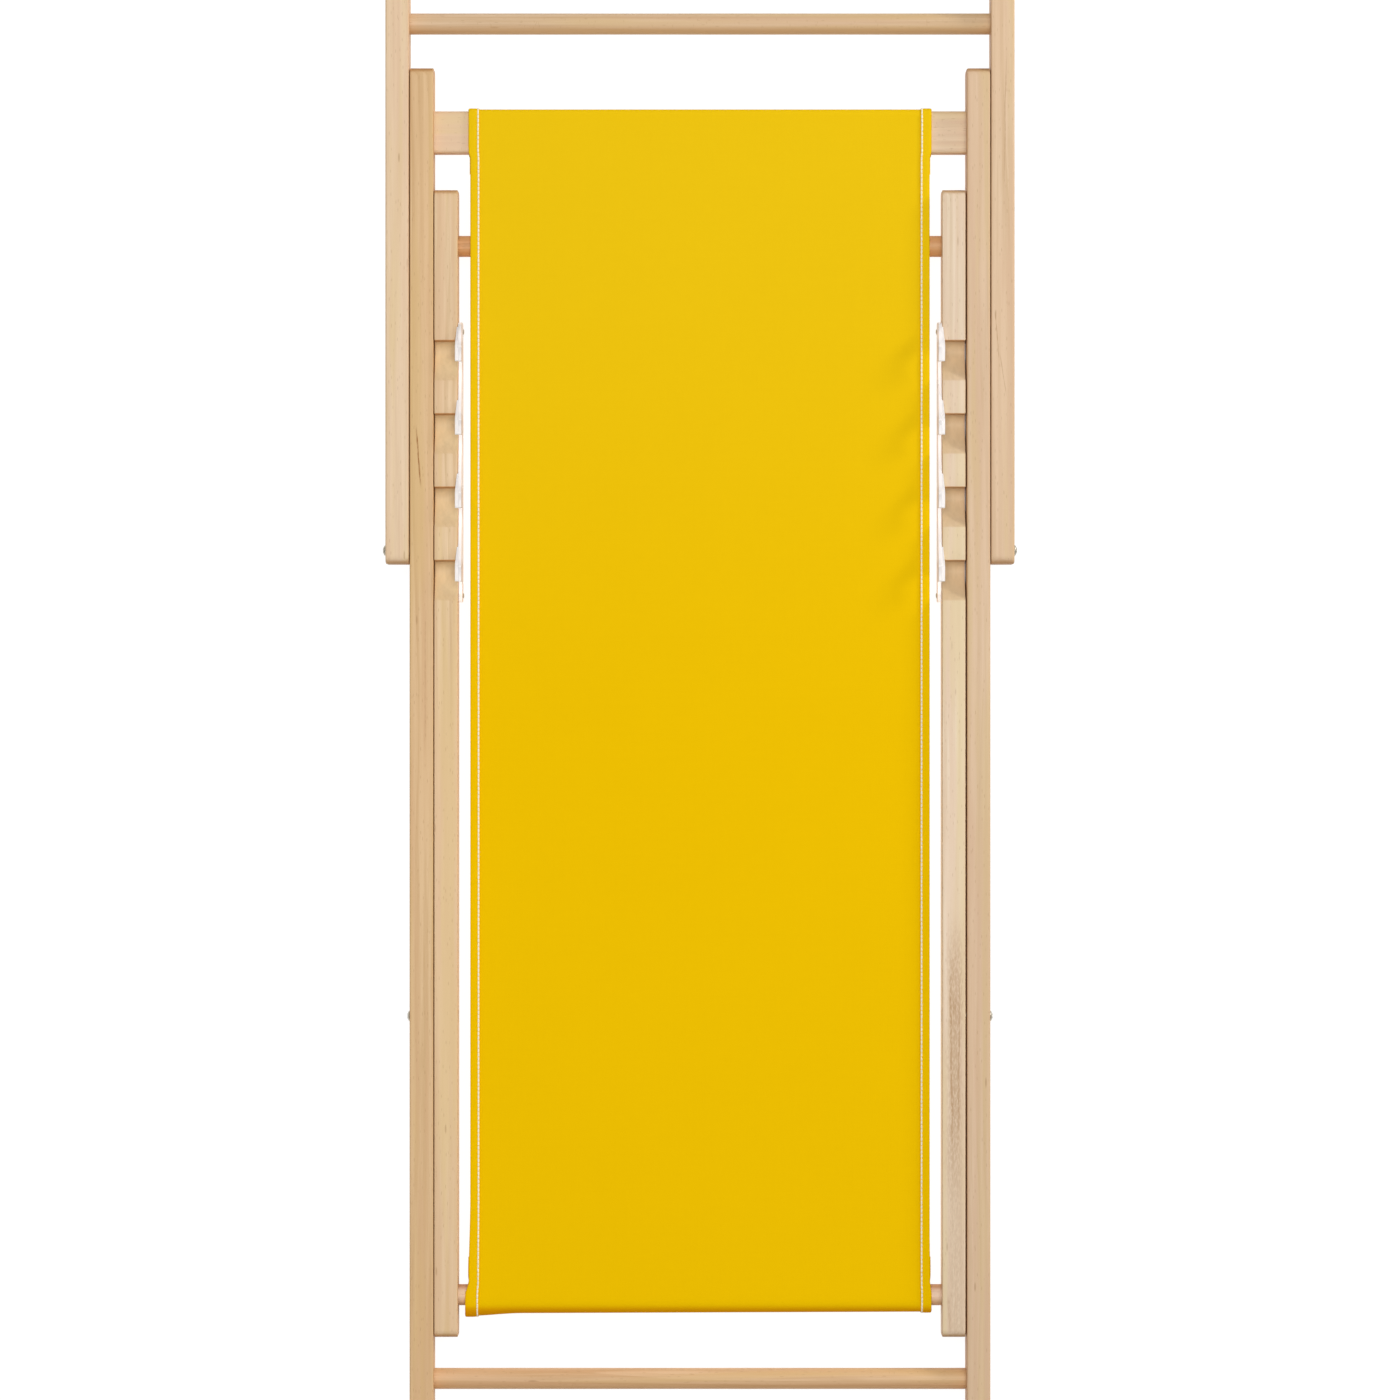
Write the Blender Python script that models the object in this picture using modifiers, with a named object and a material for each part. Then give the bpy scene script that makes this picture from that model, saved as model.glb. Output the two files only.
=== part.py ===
"""Folding deck chair, folded flat and lying on its back.

Three nested wooden frames and a canvas sling:
  seat frame (inner)  - root, four notches on the front edge of each rail
  back frame (middle) - hinged on the seat frame at the main pivot
  prop frame (outer)  - hinged on the back frame, its bar drops into a notch

+X is across the chair, +Y runs from the feet to the head end, +Z is the side
that the user sits on.  The origin is under the middle of the folded chair.
Metres throughout.
"""
import math

import bpy
import bmesh
from mathutils import Euler, Vector

# ---------------------------------------------------------------- dimensions
GAP = 0.0003                 # air between neighbouring pieces

RAIL_T = 0.022               # rail thickness, across the chair
RAIL_D = 0.042               # rail depth, front to back
RAIL_SPACING = 0.0012        # air between neighbouring frames
RAIL_END_R = 0.007           # rounding of the rail ends, seen from the side
RAIL_EDGE_R = 0.0026         # rounding of the long edges
MID_Z = RAIL_D / 2

SEAT_IN_X = 0.2290           # inner face of the seat rails
SEAT_OUT_X = SEAT_IN_X + RAIL_T
BACK_IN_X = SEAT_OUT_X + RAIL_SPACING
BACK_OUT_X = BACK_IN_X + RAIL_T
PROP_IN_X = BACK_OUT_X + RAIL_SPACING
PROP_OUT_X = PROP_IN_X + RAIL_T

LENGTH = 1.3890              # overall folded length
SEAT_Y = (-0.6026, 0.4824)   # foot end and head end of each frame's rails
BACK_Y = (-LENGTH / 2, 0.5977)
PROP_Y = (0.1285, LENGTH / 2)

PIVOT_Y = -0.2995            # main pivot, seat frame to back frame
PROP_PIVOT_Y = 0.14175       # prop pivot, back frame to prop frame

DOWEL_R = 0.010
SOCKET_DEPTH = 0.012
SEAT_FRONT_DOWEL_Y = -0.5639
SEAT_REAR_DOWEL_Y = 0.4301
BACK_FOOT_DOWEL_Y = -0.6433
PROP_BAR_Y = 0.6410

CROSSBAR_Y = (0.5174, 0.5576)
CROSSBAR_Z = (MID_Z - 0.010, MID_Z + 0.010)
CROSSBAR_EDGE_R = 0.003

# notches: steep wall, round seat for the prop bar, ramp back up to the face
NOTCH_WALL_Y = (0.1317, 0.2010, 0.2703, 0.3396)
NOTCH_R = 0.0105
NOTCH_SEAT_Z = 0.0365        # height of the centre of the round seat
NOTCH_LENGTH = 0.0380

# locking strips on the inner faces of the seat rails
STRIP_T = 0.0050
STRIP_LIP = 0.0028           # how far a hook reaches over the rail's face
STRIP_END_Y = (0.0926, 0.3572)
STRIP_LOW_Z = 0.0150
HOOK_TOP_Z = 0.0500
HOOK_UNDER_Z = 0.0470
HOOK_REACH = 0.0200          # past the notch wall
HOOK_BEND = 0.0057           # top of the ramp, past the notch wall
HOOK_RAMP_FOOT = (0.0250, 0.0290)
LIP_Z = RAIL_D + 0.0004

# fasteners
SHANK_R = 0.0030
HOLE_R = 0.0033
HEAD_R = 0.0052
HEAD_H = 0.0028
NUT_R = 0.0060
NUT_LENGTH = 0.0069
WASHER_R = 0.0090
PIN_R = 0.0015
PIN_HEAD_R = 0.0026
PIN_HEAD_H = 0.0014
PIN_DEPTH = 0.0120
STRIP_PIN_Z = 0.0205
STRIP_PIN_Y = (0.0990, 0.3490)
SCREW_R = 0.0020
SCREW_HEAD_R = 0.0040

# canvas sling
SLING_HALF_W = 0.2174
SLING_T = 0.0012
SLING_Z = MID_Z + DOWEL_R + GAP
SLING_BEND = 0.0120          # half length of the strip that bends at the pivot
FRONT_SLEEVE_R = 0.0135
FRONT_SLEEVE_HALF_W = 0.2190
TOP_SLEEVE_T = 0.0015

SEGMENTS = 28

# ---------------------------------------------------------------- colours
MATERIALS = {
    "beech_rail": ((0.680, 0.480, 0.290), 0.55, 0.0),
    "beech_dowel": ((0.700, 0.500, 0.310), 0.50, 0.0),
    "yellow_canvas": ((0.800, 0.520, 0.010), 0.85, 0.0),
    "clear_plastic": ((0.780, 0.760, 0.740), 0.30, 0.0),
    "zinc_steel": ((0.600, 0.560, 0.470), 0.35, 1.0),
}


def clear_scene():
    for ob in list(bpy.data.objects):
        bpy.data.objects.remove(ob, do_unlink=True)
    for group in (bpy.data.meshes, bpy.data.curves, bpy.data.materials):
        for block in list(group):
            group.remove(block)
    for col in list(bpy.data.collections):
        bpy.data.collections.remove(col)


clear_scene()
chair = bpy.data.collections.new("folding_deck_chair")
cutters = bpy.data.collections.new("cutters")
bpy.context.scene.collection.children.link(chair)
bpy.context.scene.collection.children.link(cutters)

mats = {}
for mat_name, (rgb, rough, metal) in MATERIALS.items():
    mat = bpy.data.materials.new(mat_name)
    mat.use_nodes = True
    shader = mat.node_tree.nodes["Principled BSDF"]
    shader.inputs["Base Color"].default_value = (*rgb, 1.0)
    shader.inputs["Roughness"].default_value = rough
    shader.inputs["Metallic"].default_value = metal
    mat.diffuse_color = (*rgb, 1.0)
    mats[mat_name] = mat


def empty(name, location, parent=None):
    ob = bpy.data.objects.new(name, None)
    chair.objects.link(ob)
    ob.empty_display_size = 0.05
    origin = Vector(location)
    if parent is not None:
        ob.parent = parent
        ob["world"] = list(origin)
        ob.location = origin - Vector(parent["world"])
    else:
        ob.location = origin
    ob["world"] = list(origin)
    return ob


seat_frame = empty("seat_frame_axis", (0, 0, 0))
back_frame = empty("back_fold_axis", (0, PIVOT_Y, MID_Z), seat_frame)
prop_frame = empty("prop_swing_axis", (0, PROP_PIVOT_Y, MID_Z), back_frame)

# local z of a turned piece, or of an extruded outline, lies along world X
ALONG_X = Euler((math.radians(90), 0, math.radians(90)), "XYZ")
# local z points to -X
ALONG_MINUS_X = Euler((math.radians(90), 0, math.radians(-90)), "XYZ")


def add(name, mesh, location, rotation=None, frame=None, mat=None, cutter=False):
    ob = bpy.data.objects.new(name, mesh)
    (cutters if cutter else chair).objects.link(ob)
    if rotation is not None:
        ob.rotation_euler = rotation
    ob.location = Vector(location)
    if frame is not None:
        ob.parent = frame
        ob.location = Vector(location) - Vector(frame["world"])
    if cutter:
        ob.hide_render = True
        ob.display_type = "WIRE"
    if mat:
        mesh.materials.clear()
        mesh.materials.append(mats[mat])
    return ob


def smooth(ob, angle=30):
    ob.data.shade_smooth()
    ob.data.set_sharp_from_angle(angle=math.radians(angle))


def bevel(ob, width, segments=2, angle=50):
    mod = ob.modifiers.new("round_edges", "BEVEL")
    mod.width = width
    mod.segments = segments
    mod.limit_method = "ANGLE"
    mod.angle_limit = math.radians(angle)
    return mod


def cut(ob, *tools):
    for tool in tools:
        mod = ob.modifiers.new("cut_" + tool.name, "BOOLEAN")
        mod.operation = "DIFFERENCE"
        mod.solver = "EXACT"
        mod.object = tool


def join(ob, tool):
    mod = ob.modifiers.new("join_" + tool.name, "BOOLEAN")
    mod.operation = "UNION"
    mod.solver = "EXACT"
    mod.object = tool


def outline_mesh(name, loops, thickness):
    """A flat outline with its holes, filled and extruded, as a closed mesh."""
    curve = bpy.data.curves.new(name, "CURVE")
    curve.dimensions = "2D"
    curve.fill_mode = "BOTH"
    curve.extrude = thickness / 2
    for loop in loops:
        spline = curve.splines.new("POLY")
        spline.points.add(len(loop) - 1)
        for point, (a, b) in zip(spline.points, loop):
            point.co = (a, b, 0, 1)
        spline.use_cyclic_u = True
    ob = bpy.data.objects.new(name, curve)
    bpy.context.scene.collection.objects.link(ob)
    bpy.context.view_layer.update()
    seen = ob.evaluated_get(bpy.context.evaluated_depsgraph_get())
    mesh = bpy.data.meshes.new_from_object(seen)
    bpy.data.objects.remove(ob, do_unlink=True)
    bpy.data.curves.remove(curve)
    mesh.name = name
    bm = bmesh.new()
    bm.from_mesh(mesh)
    bmesh.ops.remove_doubles(bm, verts=bm.verts, dist=0.000005)
    bmesh.ops.recalc_face_normals(bm, faces=bm.faces)
    bm.to_mesh(mesh)
    bm.free()
    return mesh


def prism(name, loops, x0, x1, frame=None, mat=None, cutter=False):
    """Extrude outlines given as (y, z) world points from x0 to x1."""
    ys = [p[0] for p in loops[0]]
    zs = [p[1] for p in loops[0]]
    yc = (min(ys) + max(ys)) / 2
    zc = (min(zs) + max(zs)) / 2
    local = [[(y - yc, z - zc) for y, z in loop] for loop in loops]
    mesh = outline_mesh(name, local, abs(x1 - x0))
    return add(name, mesh, ((x0 + x1) / 2, yc, zc), ALONG_X, frame, mat, cutter)


def arc(cy, cz, r, start, end, count):
    """Points on an arc, angles in degrees from +Y towards +Z."""
    out = []
    for i in range(count + 1):
        a = math.radians(start + (end - start) * i / count)
        out.append((cy + r * math.cos(a), cz + r * math.sin(a)))
    return out


def rounded_box(y0, y1, z0, z1, r, count=4):
    return (
        arc(y1 - r, z1 - r, r, 0, 90, count)
        + arc(y0 + r, z1 - r, r, 90, 180, count)
        + arc(y0 + r, z0 + r, r, 180, 270, count)
        + arc(y1 - r, z0 + r, r, 270, 360, count)
    )


def round_bar(name, x0, x1, y, z, r, frame=None, mat=None, cutter=False, segments=SEGMENTS):
    mesh = bpy.data.meshes.new(name)
    bm = bmesh.new()
    bmesh.ops.create_cone(
        bm, cap_ends=True, cap_tris=False, segments=segments,
        radius1=r, radius2=r, depth=abs(x1 - x0),
    )
    bm.to_mesh(mesh)
    bm.free()
    return add(name, mesh, ((x0 + x1) / 2, y, z), ALONG_X, frame, mat, cutter)


def box(name, low, high, frame=None, mat=None, cutter=False):
    mesh = bpy.data.meshes.new(name)
    bm = bmesh.new()
    bmesh.ops.create_cube(bm, size=1.0)
    size = [h - l for l, h in zip(low, high)]
    bmesh.ops.scale(bm, vec=size, verts=bm.verts)
    bm.to_mesh(mesh)
    bm.free()
    middle = [(l + h) / 2 for l, h in zip(low, high)]
    return add(name, mesh, middle, None, frame, mat, cutter)


def turned(name, profile, location, side, frame, mat, closed=False, segments=SEGMENTS):
    """Spin (radius, height) points about local Z; +Z of the piece points outward."""
    mesh = bpy.data.meshes.new(name)
    edges = [(i, i + 1) for i in range(len(profile) - 1)]
    if closed:
        edges.append((len(profile) - 1, 0))
    mesh.from_pydata([(r, 0, h) for r, h in profile], edges, [])
    ob = add(name, mesh, location, ALONG_X if side > 0 else ALONG_MINUS_X, frame, mat)
    mod = ob.modifiers.new("spin", "SCREW")
    mod.axis = "Z"
    mod.angle = math.radians(360)
    mod.steps = segments
    mod.render_steps = segments
    mod.use_merge_vertices = True
    mod.merge_threshold = 0.00001
    mod.use_smooth_shade = True
    return ob


def dome(radius, height, count=5):
    """Profile points of a round head, from its crown to its rim."""
    return [
        (radius * math.sin(math.radians(90 * i / count)),
         height * math.cos(math.radians(90 * i / count)))
        for i in range(count + 1)
    ]


# ---------------------------------------------------------------- rails
def notched_outline():
    """Side view of a seat rail: the front edge carries the notches."""
    y0, y1 = SEAT_Y
    r = RAIL_END_R
    slope_end = (NOTCH_LENGTH - NOTCH_R, RAIL_D - NOTCH_SEAT_Z)
    reach = math.hypot(*slope_end)
    slope = math.atan2(slope_end[1], slope_end[0]) + math.asin(NOTCH_R / reach)
    points = arc(y1 - r, RAIL_D - r, r, 0, 90, 4)
    for wall in sorted(NOTCH_WALL_Y, reverse=True):
        points.append((wall, RAIL_D))
        points += arc(wall - NOTCH_R, NOTCH_SEAT_Z, NOTCH_R, 0, -90 - math.degrees(slope), 9)
        # the ramp leaves the round seat at a tangent and eases out at the face
        foot = points[-1]
        for t in (0.40, 0.72, 0.90, 1.0):
            bulge = 0.0009 * math.sin(math.pi * t)
            points.append((foot[0] + (wall - NOTCH_LENGTH - foot[0]) * t,
                           foot[1] + (RAIL_D - foot[1]) * t + bulge))
    points += arc(y0 + r, RAIL_D - r, r, 90, 180, 4)
    points += arc(y0 + r, r, r, 180, 270, 4)
    points += arc(y1 - r, r, r, 270, 360, 4)
    return points


def socket(name, x0, x1, y):
    return round_bar(name, x0, x1, y, MID_Z, DOWEL_R + GAP, cutter=True)


for side, word in ((-1, "left"), (1, "right")):
    s = side

    # seat frame rail, inner
    rail = prism("seat_rail_" + word, [notched_outline()], s * SEAT_IN_X, s * SEAT_OUT_X,
                 seat_frame, "beech_rail")
    bevel(rail, 0.0015, 1, 65)
    depth = SOCKET_DEPTH + GAP
    cut(
        rail,
        socket("cut_seat_front_socket_" + word, s * (SEAT_IN_X - 0.002), s * (SEAT_IN_X + depth), SEAT_FRONT_DOWEL_Y),
        socket("cut_seat_rear_socket_" + word, s * (SEAT_IN_X - 0.002), s * (SEAT_IN_X + depth), SEAT_REAR_DOWEL_Y),
        round_bar("cut_seat_pivot_hole_" + word, s * (SEAT_IN_X + 0.001), s * (SEAT_OUT_X + 0.002), PIVOT_Y, MID_Z, HOLE_R, cutter=True, segments=20),
        round_bar("cut_seat_nut_recess_" + word, s * (SEAT_IN_X - 0.002), s * (SEAT_IN_X + NUT_LENGTH + 2 * GAP), PIVOT_Y, MID_Z, NUT_R + GAP, cutter=True, segments=24),
    )
    for i, y in enumerate(STRIP_PIN_Y):
        cut(rail, round_bar("cut_seat_pin_hole_%d_%s" % (i, word), s * (SEAT_IN_X - 0.002), s * (SEAT_IN_X + PIN_DEPTH + GAP), y, STRIP_PIN_Z, PIN_R + GAP, cutter=True, segments=14))
    smooth(rail)

    # back frame rail, middle
    rail = prism("back_rail_" + word, [rounded_box(*BACK_Y, 0, RAIL_D, RAIL_END_R)],
                 s * BACK_IN_X, s * BACK_OUT_X, back_frame, "beech_rail")
    bevel(rail, RAIL_EDGE_R)
    cut(
        rail,
        socket("cut_back_foot_socket_" + word, s * (BACK_IN_X - 0.002), s * (BACK_IN_X + depth), BACK_FOOT_DOWEL_Y),
        box("cut_back_mortise_" + word,
            (min(s * (BACK_IN_X - 0.002), s * (BACK_IN_X + depth)), CROSSBAR_Y[0] - GAP, CROSSBAR_Z[0] - GAP),
            (max(s * (BACK_IN_X - 0.002), s * (BACK_IN_X + depth)), CROSSBAR_Y[1] + GAP, CROSSBAR_Z[1] + GAP),
            cutter=True),
        round_bar("cut_back_pivot_hole_" + word, s * (BACK_IN_X - 0.002), s * (BACK_OUT_X + 0.002), PIVOT_Y, MID_Z, HOLE_R, cutter=True, segments=20),
        round_bar("cut_back_prop_hole_" + word, s * (BACK_IN_X + 0.001), s * (BACK_OUT_X + 0.002), PROP_PIVOT_Y, MID_Z, HOLE_R, cutter=True, segments=20),
        round_bar("cut_back_nut_recess_" + word, s * (BACK_IN_X - 0.002), s * (BACK_IN_X + NUT_LENGTH + 2 * GAP), PROP_PIVOT_Y, MID_Z, NUT_R + GAP, cutter=True, segments=24),
        round_bar("cut_back_screw_hole_" + word, s * (BACK_IN_X + 0.010), s * (BACK_OUT_X + 0.002), sum(CROSSBAR_Y) / 2, MID_Z, SCREW_R + GAP, cutter=True, segments=16),
        round_bar("cut_back_screw_head_" + word, s * (BACK_OUT_X - 0.0030), s * (BACK_OUT_X + 0.002), sum(CROSSBAR_Y) / 2, MID_Z, SCREW_HEAD_R + GAP, cutter=True, segments=20),
    )
    smooth(rail)

    # prop frame rail, outer
    rail = prism("prop_rail_" + word, [rounded_box(*PROP_Y, 0, RAIL_D, RAIL_END_R)],
                 s * PROP_IN_X, s * PROP_OUT_X, prop_frame, "beech_rail")
    bevel(rail, RAIL_EDGE_R)
    cut(
        rail,
        socket("cut_prop_bar_socket_" + word, s * (PROP_IN_X - 0.002), s * (PROP_IN_X + depth), PROP_BAR_Y),
        round_bar("cut_prop_pivot_hole_" + word, s * (PROP_IN_X - 0.002), s * (PROP_OUT_X + 0.002), PROP_PIVOT_Y, MID_Z, HOLE_R, cutter=True, segments=20),
    )
    smooth(rail)

    # main pivot: bolt with a round head, washer between the rails, flush sleeve nut
    bolt_profile = [(r, h) for r, h in dome(HEAD_R, HEAD_H)]
    length = BACK_OUT_X + GAP - (SEAT_IN_X + 0.0030)
    turned("pivot_bolt_" + word, bolt_profile + [(SHANK_R, 0), (SHANK_R, -length), (0, -length)],
           (s * (BACK_OUT_X + GAP), PIVOT_Y, MID_Z), s, seat_frame, "zinc_steel", segments=20)
    turned("pivot_washer_" + word,
           [(WASHER_R, 0.0003), (WASHER_R, -0.0003), (HOLE_R, -0.0003), (HOLE_R, 0.0003)],
           (s * (SEAT_OUT_X + RAIL_SPACING / 2), PIVOT_Y, MID_Z), s, seat_frame, "zinc_steel", True, 24)
    turned("pivot_nut_" + word,
           [(NUT_R, 0), (NUT_R, -NUT_LENGTH), (HOLE_R, -NUT_LENGTH), (HOLE_R, 0)],
           (s * (SEAT_IN_X + GAP + NUT_LENGTH), PIVOT_Y, MID_Z), s, seat_frame, "zinc_steel", True, 24)

    # prop pivot, the same fasteners
    length = PROP_OUT_X + GAP - (BACK_IN_X + 0.0030)
    turned("prop_bolt_" + word, bolt_profile + [(SHANK_R, 0), (SHANK_R, -length), (0, -length)],
           (s * (PROP_OUT_X + GAP), PROP_PIVOT_Y, MID_Z), s, back_frame, "zinc_steel", segments=20)
    turned("prop_washer_" + word,
           [(WASHER_R, 0.0003), (WASHER_R, -0.0003), (HOLE_R, -0.0003), (HOLE_R, 0.0003)],
           (s * (BACK_OUT_X + RAIL_SPACING / 2), PROP_PIVOT_Y, MID_Z), s, back_frame, "zinc_steel", True, 24)
    turned("prop_nut_" + word,
           [(NUT_R, 0), (NUT_R, -NUT_LENGTH), (HOLE_R, -NUT_LENGTH), (HOLE_R, 0)],
           (s * (BACK_IN_X + GAP + NUT_LENGTH), PROP_PIVOT_Y, MID_Z), s, back_frame, "zinc_steel", True, 24)

    # wood screw through the back rail into the end of the top crossbar
    length = 0.030
    turned("crossbar_screw_" + word,
           [(0, 0), (SCREW_HEAD_R, 0), (SCREW_HEAD_R, -0.0006), (SCREW_R, -0.0025),
            (SCREW_R, -length), (0, -length - 0.003)],
           (s * (BACK_OUT_X - GAP), sum(CROSSBAR_Y) / 2, MID_Z), s, back_frame, "zinc_steel", segments=16)


# ---------------------------------------------------------------- cross pieces
def dowel(name, in_x, y, frame):
    ob = round_bar(name, -(in_x + SOCKET_DEPTH), in_x + SOCKET_DEPTH, y, MID_Z, DOWEL_R, frame, "beech_dowel", segments=36)
    bevel(ob, 0.001, 1)
    smooth(ob)
    return ob


dowel("seat_front_dowel", SEAT_IN_X, SEAT_FRONT_DOWEL_Y, seat_frame)
dowel("seat_rear_dowel", SEAT_IN_X, SEAT_REAR_DOWEL_Y, seat_frame)
dowel("back_foot_dowel", BACK_IN_X, BACK_FOOT_DOWEL_Y, back_frame)
dowel("prop_bar", PROP_IN_X, PROP_BAR_Y, prop_frame)

crossbar = box("back_top_crossbar",
               (-(BACK_IN_X + SOCKET_DEPTH), CROSSBAR_Y[0], CROSSBAR_Z[0]),
               (BACK_IN_X + SOCKET_DEPTH, CROSSBAR_Y[1], CROSSBAR_Z[1]), back_frame, "beech_dowel")
bevel(crossbar, CROSSBAR_EDGE_R, 3)
for side, word in ((-1, "left"), (1, "right")):
    tip = BACK_OUT_X - GAP - 0.034
    cut(crossbar, round_bar("cut_crossbar_pilot_" + word, side * tip, side * (BACK_OUT_X + 0.002),
                            sum(CROSSBAR_Y) / 2, MID_Z, SCREW_R + GAP, cutter=True, segments=16))
smooth(crossbar)


# ---------------------------------------------------------------- locking strips
def strip_outline():
    """Side view of a locking strip: a saw-tooth edge with a hook over each notch."""
    y0, y1 = STRIP_END_Y
    low = STRIP_LOW_Z
    walls = sorted(NOTCH_WALL_Y, reverse=True)
    points = []
    # rounded head end, up to the first hook
    first = walls[0]
    points += [(y1, low + 0.005), (y1, 0.036)]
    points += arc(y1 - 0.010, 0.036, 0.010, 20, 80, 4)
    points += [(first + 0.002, HOOK_TOP_Z - 0.0015)]
    for k, wall in enumerate(walls):
        bend = wall - HOOK_BEND
        tip = wall - HOOK_REACH
        points += [(bend + 0.0045, HOOK_TOP_Z - 0.0010), (bend, HOOK_TOP_Z), (tip + 0.0010, HOOK_TOP_Z),
                   (tip, HOOK_TOP_Z - 0.0010), (tip, HOOK_UNDER_Z)]
        back = wall + GAP
        points += [(back - 0.0030, HOOK_UNDER_Z), (back, HOOK_UNDER_Z - 0.0025)]
        # pocket around the prop bar, a little larger than the notch in the wood
        cy = wall - NOTCH_R
        points += arc(cy, NOTCH_SEAT_Z, NOTCH_R + GAP, 0, -90, 5)
        if k < len(walls) - 1:
            points += [(wall - HOOK_RAMP_FOOT[0], HOOK_RAMP_FOOT[1])]
    # foot end
    last = walls[-1]
    points += [(last - HOOK_RAMP_FOOT[0], 0.0262)]
    points += arc(y0 + 0.0055, 0.0205, 0.0055, 90, 270, 8)
    points += [(y1 - 0.005, low), ]
    points += arc(y1 - 0.005, low + 0.005, 0.005, 280, 350, 3)
    return points


def lip_outline(wall):
    """Side view of the part of a hook that reaches over the rail's face."""
    bend = wall - HOOK_BEND
    tip = wall - HOOK_REACH
    foot = (wall + 0.0130, LIP_Z)
    return [foot, (bend + 0.0045, HOOK_TOP_Z - 0.0012), (bend, HOOK_TOP_Z - 0.0002),
            (tip + 0.0010, HOOK_TOP_Z - 0.0002), (tip + 0.0002, HOOK_TOP_Z - 0.0012),
            (tip + 0.0002, HOOK_UNDER_Z + 0.0002), (wall - 0.0025, HOOK_UNDER_Z + 0.0002),
            (wall + 0.0005, HOOK_UNDER_Z - 0.0020), (wall + 0.0005, LIP_Z)]


for side, word in ((-1, "left"), (1, "right")):
    face = SEAT_IN_X - GAP
    strip = prism("notch_strip_" + word, [strip_outline()], side * face, side * (face - STRIP_T),
                  seat_frame, "clear_plastic")
    for i, wall in enumerate(NOTCH_WALL_Y):
        lip = prism("lip_%d_%s" % (i, word), [lip_outline(wall)], side * (face - 0.0015),
                    side * (SEAT_IN_X + STRIP_LIP), cutter=True)
        join(strip, lip)
    for i, y in enumerate(STRIP_PIN_Y):
        cut(strip, round_bar("cut_strip_pin_hole_%d_%s" % (i, word), side * (SEAT_IN_X + 0.002),
                             side * (face - STRIP_T - 0.002), y, STRIP_PIN_Z, PIN_R + GAP, cutter=True, segments=14))
    smooth(strip)
    for place, y in zip(("lower", "upper"), STRIP_PIN_Y):
        start = face - STRIP_T - GAP
        length = PIN_DEPTH + (SEAT_IN_X - start)
        turned("strip_screw_%s_%s" % (place, word),
               [(r, h) for r, h in dome(PIN_HEAD_R, PIN_HEAD_H, 4)]
               + [(PIN_R, 0), (PIN_R, -length + 0.002), (0, -length)],
               (side * start, y, STRIP_PIN_Z), -side, seat_frame, "zinc_steel", segments=14)


# ---------------------------------------------------------------- canvas sling
top = SLING_Z + SLING_T
sleeve_low = (CROSSBAR_Y[0] - GAP - TOP_SLEEVE_T, CROSSBAR_Z[0] - GAP - TOP_SLEEVE_T)
sleeve_high = (CROSSBAR_Y[1] + GAP + TOP_SLEEVE_T, CROSSBAR_Z[1] + GAP + TOP_SLEEVE_T)

prism(
    "sling_top_sleeve",
    [
        rounded_box(sleeve_low[0], sleeve_high[0], sleeve_low[1], sleeve_high[1], 0.0040, 3),
        rounded_box(CROSSBAR_Y[0] - GAP, CROSSBAR_Y[1] + GAP, CROSSBAR_Z[0] - GAP, CROSSBAR_Z[1] + GAP, 0.0026, 3),
    ],
    -SLING_HALF_W, SLING_HALF_W, back_frame, "yellow_canvas",
)
prism(
    "sling_front_sleeve",
    [
        arc(SEAT_FRONT_DOWEL_Y, MID_Z, FRONT_SLEEVE_R, 0, 350, 35),
        arc(SEAT_FRONT_DOWEL_Y, MID_Z, DOWEL_R + GAP, 0, 350, 35),
    ],
    -FRONT_SLEEVE_HALF_W, FRONT_SLEEVE_HALF_W, seat_frame, "yellow_canvas",
)
box("sling_back_panel",
    (-SLING_HALF_W, PIVOT_Y + SLING_BEND, SLING_Z),
    (SLING_HALF_W, sleeve_low[0] - GAP, top), back_frame, "yellow_canvas")
box("sling_bend_strip",
    (-SLING_HALF_W, PIVOT_Y - SLING_BEND + GAP, SLING_Z),
    (SLING_HALF_W, PIVOT_Y + SLING_BEND - GAP, top), seat_frame, "yellow_canvas")
box("sling_seat_panel",
    (-SLING_HALF_W, SEAT_FRONT_DOWEL_Y + FRONT_SLEEVE_R + GAP, SLING_Z),
    (SLING_HALF_W, PIVOT_Y - SLING_BEND, top), seat_frame, "yellow_canvas")

bpy.context.view_layer.update()
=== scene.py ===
"""Folding deck chair: beech frames, clear locking strips and a canvas sling.

+X is across the chair, +Y runs from the feet to the head end, +Z is the side
that the user sits on.  Metres throughout, same frame as the CAD.
"""

import math

import bmesh
import bpy
import numpy as np
from mathutils import Matrix, Vector


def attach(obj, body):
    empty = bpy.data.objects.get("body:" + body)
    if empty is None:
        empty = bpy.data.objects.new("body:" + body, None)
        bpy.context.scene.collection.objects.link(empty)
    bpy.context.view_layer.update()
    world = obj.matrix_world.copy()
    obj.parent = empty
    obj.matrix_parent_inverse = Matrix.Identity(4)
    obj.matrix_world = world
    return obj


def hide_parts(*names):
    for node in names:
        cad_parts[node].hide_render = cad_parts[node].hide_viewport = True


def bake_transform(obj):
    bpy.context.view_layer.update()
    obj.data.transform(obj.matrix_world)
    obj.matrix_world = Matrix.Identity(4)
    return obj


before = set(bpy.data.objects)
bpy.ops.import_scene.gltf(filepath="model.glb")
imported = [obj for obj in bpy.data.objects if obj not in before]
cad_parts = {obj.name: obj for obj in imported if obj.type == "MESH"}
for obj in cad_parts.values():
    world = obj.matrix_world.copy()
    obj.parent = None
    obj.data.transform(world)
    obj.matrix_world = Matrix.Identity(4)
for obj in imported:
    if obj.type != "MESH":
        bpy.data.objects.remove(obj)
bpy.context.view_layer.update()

# ---------------------------------------------------------------- dimensions
RAIL_T = 0.022
RAIL_D = 0.042
SPACING = 0.0012
MID_Z = 0.021
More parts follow.
